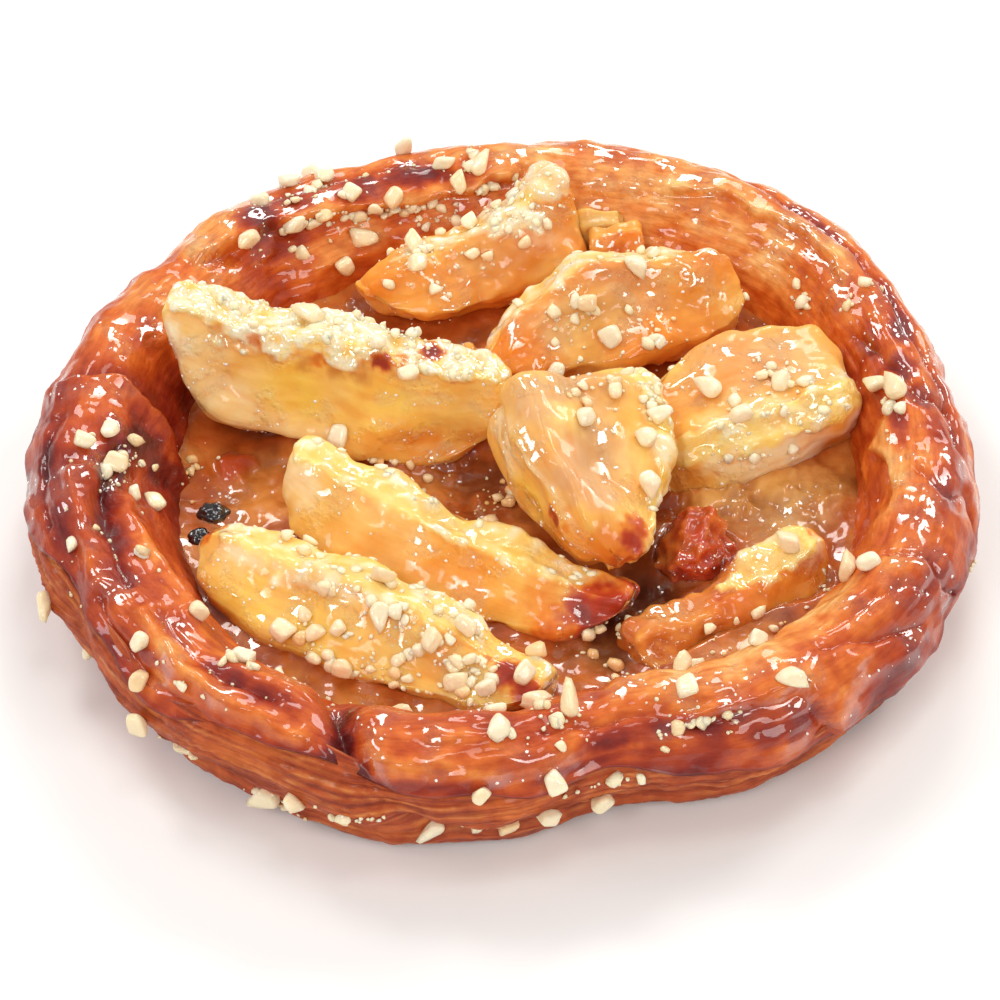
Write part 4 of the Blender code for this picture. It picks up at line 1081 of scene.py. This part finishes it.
# in millimetres: middle, radius, colour, amount, how far it stands up
creamZones = (
    ((-36.8, 2.0), 3.0, "appleRed", 1.0, 1.2), ((-39.0, 5.0), 8.0, "caramel", 0.45, 0.0),
    ((-42.0, -6.0), 5.0, "caramel", 0.35, 0.0), ((-31.0, -5.0), 7.0, "creamGold", 0.90, 0.6),
    # partly painted shade: the creamDark zones in this table darken the cream in the hollows between the
    # slices
    ((-2.8, 0.5), 5.5, "creamDark", 0.9, -0.6), ((2.0, -6.0), 4.0, "creamDark", 0.5, 0.0),
    ((-9.0, -2.0), 4.0, "creamGold", 0.5, 0.4), ((38.0, -9.0), 8.0, "creamOlive", 0.8, 0.8),
    ((30.0, -4.0), 5.0, "creamGlow", 0.9, 1.4), ((37.0, -2.0), 5.0, "creamGlow", 0.8, 1.2),
    ((44.0, -3.0), 6.0, "creamGlow", 0.7, 0.9), ((21.0, -15.0), 5.0, "creamDark", 0.5, 0.0),
    # painted shade: the next two zones darken the cream in the shaded gaps by B's tip, D's tip and the red
    # chunk
    ((19.5, -23.0), 9.5, "gapShade", 1.0, -0.5), ((15.5, -30.5), 6.5, "gapShade", 0.9, 0.0),
    ((12.0, -35.0), 6.0, "creamGold", 0.2, 0.0), ((28.0, -34.0), 8.0, "creamGold", 0.6, 0.0),
    ((40.0, -20.0), 6.0, "creamGold", 0.4, 0.0), ((-20.0, -40.0), 8.0, "creamGold", 0.6, 0.0),
    ((-6.0, -43.0), 7.0, "creamGold", 0.5, 0.0), ((-28.0, 38.0), 8.0, "creamGold", 0.4, 0.0),
    ((-24.0, 30.0), 7.0, "caramel", 0.3, 0.0), ((16.0, 40.0), 7.0, "creamOlive", 0.6, 0.0),
    ((30.0, 38.0), 8.0, "creamGold", 0.6, 0.0), ((32.0, 20.0), 6.0, "creamOlive", 0.5, 0.0),
)


def fillingTop(points):  # the level of the cream, as packed: it climbs to the wall and is stirred up inside
    flat = np.stack([points[..., 0], points[..., 1], 0 * points[..., 0]], -1)
    wave = filling["wave"] * grain(flat, 0.011, np.array((4, 2, 7)))
    far = np.hypot(points[..., 0], points[..., 1]) / crust["radius"]
    height = filling["level"] - filling["dip"] * easeBetween(0.72, 0.55, far)
    return height + wave * easeBetween(0.74, 0.66, far)


def makeFilling(sliceTrees):
    around = np.linspace(-180, 180, filling["around"], endpoint=False)
    _, smooth = caseProfile()
    inside = turnOf(smooth[:, 0], smooth[:, 1]) > 150
    wallInset = np.interp(-filling["level"], -smooth[inside, 1], smooth[inside, 0])
    radii = (crust["radius"] - wallInset + 0.0006) * np.linspace(0.004, 1, filling["rings"]) ** 0.8
    direction = np.broadcast_to(around[:, None], (len(around), len(radii)))
    inset = np.broadcast_to(crust["radius"] - radii[None, :], direction.shape)
    grid = shapeCase(direction, inset, np.full(direction.shape, filling["level"]))
    grid[..., 2] = fillingTop(grid)
    flat = grid * (1, 1, 0)
    nearest = np.array([min(tree.find_nearest(Vector(place))[3] for tree in sliceTrees)
                        for place in grid.reshape(-1, 3).tolist()]).reshape(direction.shape)
    rise = filling["climb"] * np.exp(-nearest / filling["climbReach"])
    rise += grainSum(flat, filling["ripples"])
    tint = plainColour("cream", grid)
    tint = mixColours(tint, paint["creamGold"], 0.8 * easeBetween(0.0, 0.5, grain(flat, 0.0075, 87)))
    tint = mixColours(tint, paint["creamDark"], 0.6 * easeBetween(0.1, 0.5, -grain(flat, 0.0060, 89)))
    for middle, radius, colour, amount, height in creamZones:
        spot = spotAt(flat, (*middle, 0), radius)
        tint = mixColours(tint, paint[colour], amount * spot)
        rise = rise + height * mm * spot
    tint = mixColours(tint, paint["caramel"], 0.35 * np.exp(-nearest / 0.0012))
    grid[..., 2] += rise
    lower = grid[:, -1:].copy()
    lower[..., 2] = crust["floor"]
    bottom = grid[:, :1].copy()
    bottom[..., 2] = crust["floor"]
    full = np.concatenate([grid, lower, bottom], 1)
    mesh = gridMesh("cream_layer", full, capStart=True, capEnd=True)
    setTint(mesh, np.concatenate([tint, tint[:, -1:], tint[:, :1]], 1))
    setRun(mesh, full / 0.0030)
    sticky = easeBetween(0.0, 0.4, grain(flat, 0.0050, 91))
    sticky = np.concatenate([sticky, 0 * sticky[:, :2]], 1)
    setNumber(mesh, "sticky", sticky)
    setNumber(mesh, "sugarAndGlints", sticky)
    mesh.materials.append(makeFood("glazedCream"))
    return addPiece("cream_layer", mesh), grid


# chopped nuts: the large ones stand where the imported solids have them, small ones lie in heaps among them

nuts = {"seed": 7, "kinds": 9, "sunk": 0.22, "crumbsEach": 3, "heapSpread": 0.6,
        "standsOut": 0.0006, "tallest": 0.0009,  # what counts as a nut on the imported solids
        "longest": 0.0037, "shortest": 0.0024,
        # small nuts and crumbs: shortest, longest, and how much commoner the short ones are
        "small": (0.0010, 0.0026, 1.3), "crumb": (0.0004, 0.0010, 1.5),
        "glazedBelow": 0.013, "glazedWithin": 0.048}  # where they are baked brown in the cream
# in millimetres: middle of a heap, its spread, how many small nuts
nutHeaps = (
    ((-50, -8, 19), 6, 8), ((-43, 0, 10), 4, 5), ((-54, -25, 18), 6, 7), ((-34, -46, 20), 5, 6),
    ((-39, -50, 7), 4, 4), ((-29, -56, 4), 4, 4), ((-17, -63, 11), 6, 6), ((-3, -62, 6), 5, 2),
    ((-16, -41, 12), 6, 16), ((-4, -42, 14), 6, 16), ((-14, -34, 17), 8, 14), ((-4, -35, 15), 5, 8),
    ((-25, -36, 12), 5, 8), ((14, -33, 10), 5, 7), ((33, -34, 11), 6, 8), ((43, -22, 10), 4, 6),
    ((24, -53, 19), 6, 6), ((6, -55, 20), 4, 6), ((14, -58, 13), 4, 4), ((-29, 44, 19), 6, 18),
    ((-20, 47, 17), 6, 14), ((-8, 48, 16), 6, 12), ((-4, 53, 19), 4, 8), ((3, 44, 20), 5, 12),
    ((-10, 36, 18), 6, 10), ((53, 3, 20), 4, 5), ((51, 24, 20), 4, 4), ((38, 6, 20), 6, 9),
    ((33, -1, 15), 5, 5), ((42, 30, 17), 5, 5), ((0, -3, 8), 5, 10), ((-13, 1, 10), 4, 8),
    ((12, 21, 20), 7, 8), ((22, 20, 17), 4, 6), ((12, 0, 25), 6, 7), ((20, 2, 22), 3, 6),
    ((-14, 13, 25), 7, 8), ((-34, 14, 27), 5, 4), ((-24, -20, 15), 6, 5), ((62, -18, 12), 3, 2),
    ((16, 32, 22), 7, 5),
)
# in metres: place, length
charredDrops = (((-0.0385, -0.0135, 0.0150), 0.0042), ((-0.0402, -0.0165, 0.0135), 0.0032))


def packedNuts(bareTrees):  # (place, length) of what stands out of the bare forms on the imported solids
    found = []
    for node, tree in bareTrees.items():
        shape = bmesh.new()
        shape.from_mesh(frame["nodes"][node].data)
        bmesh.ops.remove_doubles(shape, verts=shape.verts, dist=0.000002)
        out = {}
        for vertex in shape.verts:
            place, normal, _, away = tree.find_nearest(vertex.co)
            if away > nuts["standsOut"] and (vertex.co - place).dot(normal) > 0:
                out[vertex] = away
        unseen = set(out)
        while unseen:
            group, edge = [], [min(unseen, key=lambda vertex: vertex.index)]
            unseen.discard(edge[0])
            while edge:
                vertex = edge.pop()
                group.append(vertex)
                linked = [link.other_vert(vertex) for link in vertex.link_edges]
                edge += [other for other in linked if other in unseen]
                unseen -= set(linked)
            if len(group) >= 3 and max(out[vertex] for vertex in group) > nuts["tallest"]:
                middle = sum((vertex.co for vertex in group), Vector()) / len(group)
                reach = max((vertex.co - middle).length for vertex in group)
                found.append((tuple(round(value, 6) for value in middle), 2 * reach))
        shape.free()

    def isNut(place):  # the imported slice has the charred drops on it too
        return all((Vector(place) - Vector(drop)).length > 0.004 for drop, _ in charredDrops)

    return sorted((place, size) for place, size in found if isNut(place))


def stoneShape(seed, steps):  # a chip with worn corners, about 1 m long before it is scaled
    rng = random.Random(seed)
    sides = (0.5, rng.uniform(0.34, 0.46), rng.uniform(0.28, 0.38))
    faces = [Vector(way) * sign for way in ((1, 0, 0), (0, 1, 0), (0, 0, 1)) for sign in (1, -1)]
    faces = [(face + Vector([rng.uniform(-0.35, 0.35) for _ in range(3)])).normalized() for face in faces]
    for _ in range(5):
        face = Vector([rng.gauss(0, 1) for _ in range(3)]).normalized()
        faces.append(face * rng.uniform(0.90, 1.10))
    shape = bmesh.new()
    bmesh.ops.create_icosphere(shape, subdivisions=steps, radius=1)
    for vertex in shape.verts:
        nearness = sum(max(0, vertex.co.dot(face)) ** 7 for face in faces)
        shrink = nearness ** (-1 / 7)
        vertex.co = Vector([value * side * shrink for value, side in zip(vertex.co, sides)]) * 0.84
    mesh = bpy.data.meshes.new("stone")
    shape.to_mesh(mesh)
    shape.free()
    mesh.shade_smooth()
    return mesh


def shapeCollection(name, kinds, seed, steps):
    shapes = bpy.data.collections.new(name)
    scene.collection.children.link(shapes)
    for kind in range(kinds):
        shapes.objects.link(bpy.data.objects.new(f"{name}{kind}", stoneShape(seed + kind, steps)))
    return shapes


def dropCollection(shapes):
    for shape in list(shapes.objects):
        bpy.data.objects.remove(shape)
    bpy.data.collections.remove(shapes)


def newTree(name, inputs):
    tree = bpy.data.node_groups.new(name, "GeometryNodeTree")
    tree.interface.new_socket("Geometry", in_out="INPUT", socket_type="NodeSocketGeometry")
    tree.interface.new_socket("Geometry", in_out="OUTPUT", socket_type="NodeSocketGeometry")
    for label, kind in inputs:
        tree.interface.new_socket(label, in_out="INPUT", socket_type=kind)
    return tree, tree.nodes.new("NodeGroupInput"), tree.nodes.new("NodeGroupOutput")


def wire(tree, *pairs):  # each pair is (node, output, node, input)
    for source, output, target, entry in pairs:
        tree.links.new(source.outputs[output], target.inputs[entry])


def namedNumber(tree, name, kind):
    reader = tree.nodes.new("GeometryNodeInputNamedAttribute")
    reader.data_type = kind
    reader.inputs["Name"].default_value = name
    return reader


def pickShapes(tree, start):  # instances one of the shapes in a collection on each point
    shapes = tree.nodes.new("GeometryNodeCollectionInfo")
    shapes.inputs["Separate Children"].default_value = True
    shapes.inputs["Reset Children"].default_value = True
    place = tree.nodes.new("GeometryNodeInstanceOnPoints")
    place.inputs["Pick Instance"].default_value = True
    wire(tree, (start, "Shapes", shapes, "Collection"), (shapes, "Instances", place, "Instance"))
    return place


def endTree(tree, start, last, end):
    realize = tree.nodes.new("GeometryNodeRealizeInstances")
    dress = tree.nodes.new("GeometryNodeSetMaterial")
    wire(tree, (last, 0, realize, "Geometry"), (realize, "Geometry", dress, "Geometry"),
         (start, "Finish", dress, "Material"), (dress, "Geometry", end, "Geometry"))


def nutTree():  # stands a chip on each point, by the point's own numbers
    tree, start, end = newTree("placeNuts", (
        ("Shapes", "NodeSocketCollection"), ("Finish", "NodeSocketMaterial")))
    place = pickShapes(tree, start)
    kind, turn = namedNumber(tree, "kind", "INT"), namedNumber(tree, "turn", "FLOAT_VECTOR")
    size, toast = namedNumber(tree, "size", "FLOAT"), namedNumber(tree, "toast", "FLOAT")
    keep = tree.nodes.new("GeometryNodeStoreNamedAttribute")
    keep.domain = "INSTANCE"
    keep.inputs["Name"].default_value = "toasted"
    wire(tree, (start, "Geometry", place, "Points"), (kind, "Attribute", place, "Instance Index"),
         (turn, "Attribute", place, "Rotation"), (size, "Attribute", place, "Scale"),
         (place, "Instances", keep, "Geometry"), (toast, "Attribute", keep, "Value"))
    endTree(tree, start, keep, end)
    return tree


def runTree(name, holder, tree, values):  # gives the tree its inputs and makes its result a plain mesh
    inputs = [item for item in tree.interface.items_tree if item.in_out == "INPUT"]
    identifiers = {item.name: item.identifier for item in inputs}
    modifier = holder.modifiers.new(name, "NODES")
    modifier.node_group = tree
    for label, value in values.items():
        modifier[identifiers[label]] = value
    graph = bpy.context.evaluated_depsgraph_get()
    mesh = bpy.data.meshes.new_from_object(holder.evaluated_get(graph))
    mesh.name = name
    bpy.data.objects.remove(holder)
    return addPiece(name, mesh)


def layNuts(name, places, rng, tree, shapes, finish):  # places: (where, surface normal, length)
    points, turns = [], []
    for place, normal, size in places:
        facing = Vector((0, 0, 1)).rotation_difference(normal).to_matrix()
        spin = Matrix.Rotation(rng.uniform(0, 2 * pi), 3, "Z")
        spin = spin @ Matrix.Rotation(rng.uniform(-0.7, 0.7), 3, "X")
        points.append(place + normal * size * nuts["sunk"] * rng.uniform(0.3, 1.2))
        turns += (facing @ spin).to_euler()
    mesh = bpy.data.meshes.new("nutPlaces")
    mesh.from_pydata(points, [], [])
    glazed = [place.z < nuts["glazedBelow"] and place.to_2d().length < nuts["glazedWithin"]
              for place, _, _ in places]
    toast = [rng.uniform(0.45, 1.0) if under else 0.75 * rng.random() for under in glazed]
    numbers = (("size", "FLOAT", [size for _, _, size in places]), ("toast", "FLOAT", toast),
               ("kind", "INT", [rng.randrange(len(shapes.objects)) for _ in places]))
    for label, kind, values in numbers:
        mesh.attributes.new(label, kind, "POINT").data.foreach_set("value", values)
    mesh.attributes.new("turn", "FLOAT_VECTOR", "POINT").data.foreach_set("vector", turns)
    piece = runTree(name, addPiece("nutPlaces", mesh), tree, {"Shapes": shapes, "Finish": finish})
    print(name, len(places), "faces", len(piece.data.polygons))
    return piece


def makeNuts(bareTrees, surfaces):
    rng = random.Random(nuts["seed"])

    def onSurface(spot):
        place, normal, _, _ = min((tree.find_nearest(spot) for tree in surfaces), key=lambda hit: hit[3])
        return place, normal

    large = [(*onSurface(Vector(middle)), min(nuts["longest"], max(nuts["shortest"], reach * 1.10)))
             for middle, reach in packedNuts(bareTrees)]
    small, crumbs = [], []
    for middle, spread, count in nutHeaps:
        for index in range(count * (1 + nuts["crumbsEach"])):
            away = Vector((rng.gauss(0, 1), rng.gauss(0, 1), 0)) * spread * nuts["heapSpread"]
            spot = Vector(middle) + away
            laid, sizes = (small, nuts["small"]) if index < count else (crumbs, nuts["crumb"])
            shortest, longest, power = sizes
            length = shortest + (longest - shortest) * rng.random() ** power
            laid.append((*onSurface(spot * mm), length))
    tree, finish = nutTree(), nutFinish()
    made = []
    kinds = (("chopped_nuts", large, 3), ("small_nuts", small, 2), ("nut_crumbs", crumbs, 1))
    for name, places, steps in kinds:
        shapes = shapeCollection(name, nuts["kinds"], 10 * steps, steps)
        made.append(layNuts(name, places, rng, tree, shapes, finish))
        dropCollection(shapes)
    return made


def nutFinish():
    material, nodes, links, shader = newMaterial("glazedNut")
    toasted = addAttribute(nodes, "toasted").outputs["Fac"]
    colour = addRamp(nodes, links, toasted, (
        (0, (0.95, 0.84, 0.60)), (0.62, (0.92, 0.74, 0.45)), (1, (0.86, 0.47, 0.16))))
    links.new(colour, shader.inputs["Base Color"])
    setFinish(shader, finishes["glazedNut"])
    addBumps(nodes, links, shader, finishes["glazedNut"]["bumps"])
    return material


def makeCharredDrops():
    rng = random.Random(7)
    whole = bmesh.new()
    for middle, length in charredDrops:
        drop = bmesh.ops.create_icosphere(whole, subdivisions=4, radius=0.5)["verts"]
        sides = Vector((length, length * rng.uniform(0.65, 0.95), length * rng.uniform(0.6, 0.85)))
        for vertex in drop:
            swollen = 1 + 0.24 * noise.noise(vertex.co * 3.6 + Vector(middle) * 300)
            vertex.co = Vector(middle) + vertex.co * swollen * sides
    mesh = bpy.data.meshes.new("charred_drops")
    whole.to_mesh(mesh)
    whole.free()
    mesh.shade_smooth()
    material, nodes, links, shader = newMaterial("charredSugar")
    shader.inputs["Base Color"].default_value = (0.012, 0.007, 0.007, 1)
    shader.inputs["Roughness"].default_value = 0.18
    shader.inputs["Coat Weight"].default_value = 0.8
    shader.inputs["Coat Roughness"].default_value = 0.05
    addBumps(nodes, links, shader, ((0.0014, 0.00030, 0),))
    mesh.materials.append(material)
    return addPiece("charred_drops", mesh)


# small things that Geometry Nodes scatter where a surface's own number says so

scattered = {  # bits a square metre where the number is 1, sizes in metres
    "apple_crumbs": {"where": "crumbly", "density": 1.6e5, "from": 0.00100, "to": 0.00240, "squash": 0.6,
                     "colour": (1.00, 0.86, 0.56), "finish": "appleBits", "seed": 9},
    # partly painted highlight: near-white grains, partly sugar, partly standing in for the glaze's glints
    "sugar_grains": {"where": "sugarAndGlints", "density": 2.4e5, "from": 0.00020, "to": 0.00066, "squash": 0.8,
                     "colour": (1.00, 0.95, 0.86), "finish": "sugarGlintBits", "seed": 11},
}
bitShapes = {"kinds": 8, "seed": 70, "steps": 1, "skew": 2.2}  # skew: small ones are commoner


def scatterTree():
    tree, start, end = newTree("scatterBits", (
        ("Shapes", "NodeSocketCollection"), ("Where", "NodeSocketString"), ("Density", "NodeSocketFloat"),
        ("Smallest", "NodeSocketFloat"), ("Largest", "NodeSocketFloat"), ("Squash", "NodeSocketFloat"),
        ("Seed", "NodeSocketInt"), ("Finish", "NodeSocketMaterial")))
    place = pickShapes(tree, start)
    where = namedNumber(tree, "", "FLOAT")
    amount = addMath(tree.nodes, tree.links, "MULTIPLY", start.outputs["Density"])
    scatter = tree.nodes.new("GeometryNodeDistributePointsOnFaces")
    length = tree.nodes.new("FunctionNodeRandomValue")
    skewed = addMath(tree.nodes, tree.links, "POWER", length.outputs[1])
    skewed.inputs[1].default_value = bitShapes["skew"]
    share = tree.nodes.new("ShaderNodeMapRange")
    spin = tree.nodes.new("FunctionNodeRandomValue")
    spin.inputs["Max"].default_value = 2 * pi
    turned = tree.nodes.new("FunctionNodeRotateRotation")
    turned.rotation_space = "LOCAL"
    euler = tree.nodes.new("ShaderNodeCombineXYZ")
    sides = tree.nodes.new("ShaderNodeCombineXYZ")
    flattened = addMath(tree.nodes, tree.links, "MULTIPLY", share.outputs[0])
    kind = tree.nodes.new("FunctionNodeRandomValue")
    kind.data_type = "INT"
    kind.inputs[5].default_value = bitShapes["kinds"] - 1  # the greatest whole number
    wire(tree, (start, "Where", where, "Name"), (start, "Geometry", scatter, "Mesh"),
         (where, "Attribute", amount, 1), (amount, 0, scatter, "Density"),
         (start, "Seed", scatter, "Seed"), (start, "Seed", length, "Seed"), (start, "Seed", spin, "Seed"),
         (start, "Seed", kind, "Seed"), (skewed, 0, share, "Value"),
         (start, "Smallest", share, "To Min"), (start, "Largest", share, "To Max"), (share, 0, sides, "X"),
         (share, 0, sides, "Y"), (start, "Squash", flattened, 1),
         (flattened, 0, sides, "Z"), (sides, 0, place, "Scale"), (spin, 1, euler, "Z"),
         (scatter, "Rotation", turned, "Rotation"), (euler, 0, turned, "Rotate By"),
         (turned, 0, place, "Rotation"), (kind, 2, place, "Instance Index"),
         (scatter, "Points", place, "Points"))
    endTree(tree, start, place, end)
    return tree


def makeScattered(grounds):  # grounds: the pieces that each kind lies on
    tree = scatterTree()
    shapes = shapeCollection("bit", bitShapes["kinds"], bitShapes["seed"], bitShapes["steps"])
    made = []
    for name, look in scattered.items():
        material, _, _, shader = newMaterial(name + "_finish")
        shader.inputs["Base Color"].default_value = (*look["colour"], 1)
        setFinish(shader, finishes[look["finish"]])
        whole = bmesh.new()
        for source in grounds[name]:
            whole.from_mesh(source.data)
        mesh = bpy.data.meshes.new("ground")
        whole.to_mesh(mesh)
        whole.free()
        piece = runTree(name, addPiece("ground", mesh), tree, {
            "Shapes": shapes, "Where": look["where"], "Density": look["density"], "Smallest": look["from"],
            "Largest": look["to"], "Squash": look["squash"], "Seed": look["seed"], "Finish": material})
        print(name, "faces", len(piece.data.polygons))
        made.append(piece)
    dropCollection(shapes)
    return made


# floor and light

studio = {"floor": 2.0, "floorColour": (0.93, 0.92, 0.90), "world": 0.345}
lamps = {  # each shines with a brightness of glow all over its square
    "back": {"at": (0.08, 0.56, 0.52), "size": 0.22, "glow": 10.9, "colour": (1.0, 0.98, 0.96)},
    "backRight": {"at": (0.44, 0.36, 0.42), "size": 0.20, "glow": 11.2, "colour": (1.0, 0.98, 0.96)},
    "backLeft": {"at": (-0.30, 0.28, 0.50), "size": 0.16, "glow": 13, "colour": (1.0, 0.98, 0.95)},
    "overhead": {"at": (0.06, -0.06, 0.66), "size": 0.18, "glow": 5.0, "colour": (1.0, 0.98, 0.95)},
    "leftSide": {"at": (-0.50, -0.08, 0.34), "size": 0.14, "glow": 8, "colour": (0.92, 0.90, 1.0)},
    "frontLeft": {"at": (-0.22, -0.46, 0.50), "size": 0.22, "glow": 8.5, "colour": (1.0, 0.98, 0.96)},
    "frontRight": {"at": (0.36, -0.38, 0.36), "size": 0.20, "glow": 7.8, "colour": (1.0, 0.98, 0.96)},
}


def makeStudio():
    bpy.ops.mesh.primitive_plane_add(size=studio["floor"])
    floor = bpy.context.object
    floor.name = "floor"
    material, _, _, shader = newMaterial("paleFloor")
    shader.inputs["Base Color"].default_value = (*studio["floorColour"], 1)
    shader.inputs["Roughness"].default_value = 0.9
    floor.data.materials.append(material)
    world = scene.world or bpy.data.worlds.new("studio")
    scene.world = world
    world.use_nodes = True
    background = world.node_tree.nodes["Background"]
    background.inputs["Color"].default_value = (1, 1, 1, 1)
    background.inputs["Strength"].default_value = studio["world"]
    aim = Vector((0, 0, 0.01))
    for name, lamp in lamps.items():
        light = bpy.data.lights.new(name, "AREA")
        light.size = lamp["size"]
        light.energy = pi * lamp["glow"] * lamp["size"] ** 2
        light.color = lamp["colour"]
        holder = bpy.data.objects.new(name, light)
        holder.location = lamp["at"]
        holder.rotation_euler = (aim - Vector(lamp["at"])).to_track_quat("-Z", "Y").to_euler()
        scene.collection.objects.link(holder)
    scene.view_settings.view_transform = "Standard"


def bareCase():  # the case without relief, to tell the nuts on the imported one
    around = np.linspace(-180, 180, 240, endpoint=False)
    _, smooth = caseProfile()
    coarse = smooth[::4]
    shape = (len(around), len(coarse))
    grid = shapeCase(np.broadcast_to(around[:, None], shape), np.broadcast_to(coarse[:, 0], shape),
                     np.broadcast_to(coarse[:, 1], shape))
    return gridMesh("bare", grid)


def makeTart():
    makeCamera()
    rim, base = makeRim(), makeBase()
    print("crust: faces", len(rim.data.polygons) + len(base.data.polygons))
    finish = makeFood("roastApple")
    apples, bareTrees = {}, {}
    for name in slices:
        apples[name], bare = makeSlice(name, finish)
        coarse = np.swapaxes(bare[::2, ::2], 0, 1)
        bareTrees[name] = treeOf(gridMesh("bare", coarse, capStart=True, capEnd=True))
    flesh = list(apples.values())
    print("apple: faces", sum(len(piece.data.polygons) for piece in flesh))
    cream, creamGrid = makeFilling(list(bareTrees.values()))
    print("cream: faces", len(cream.data.polygons))
    bareTrees["pastry_case"] = treeOf(bareCase())
    flatCream = creamGrid.copy()
    flatCream[..., 2] = fillingTop(creamGrid)
    bareTrees["cream_filling"] = treeOf(gridMesh("bare", flatCream))
    surfaces = [treeOf(piece.data) for piece in (*flesh, rim, base, cream)]
    loose = makeNuts(bareTrees, surfaces) + [makeCharredDrops()]
    loose += makeScattered({"apple_crumbs": flesh, "sugar_grains": [rim, cream, *flesh]})
    for piece in (rim, base, cream, *flesh, *loose):
        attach(piece, "root")
    for piece in (rim, base):
        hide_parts("pastry_case")
    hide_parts("cream_filling")
    for name, piece in apples.items():
        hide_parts(name)
    makeStudio()


makeTart()
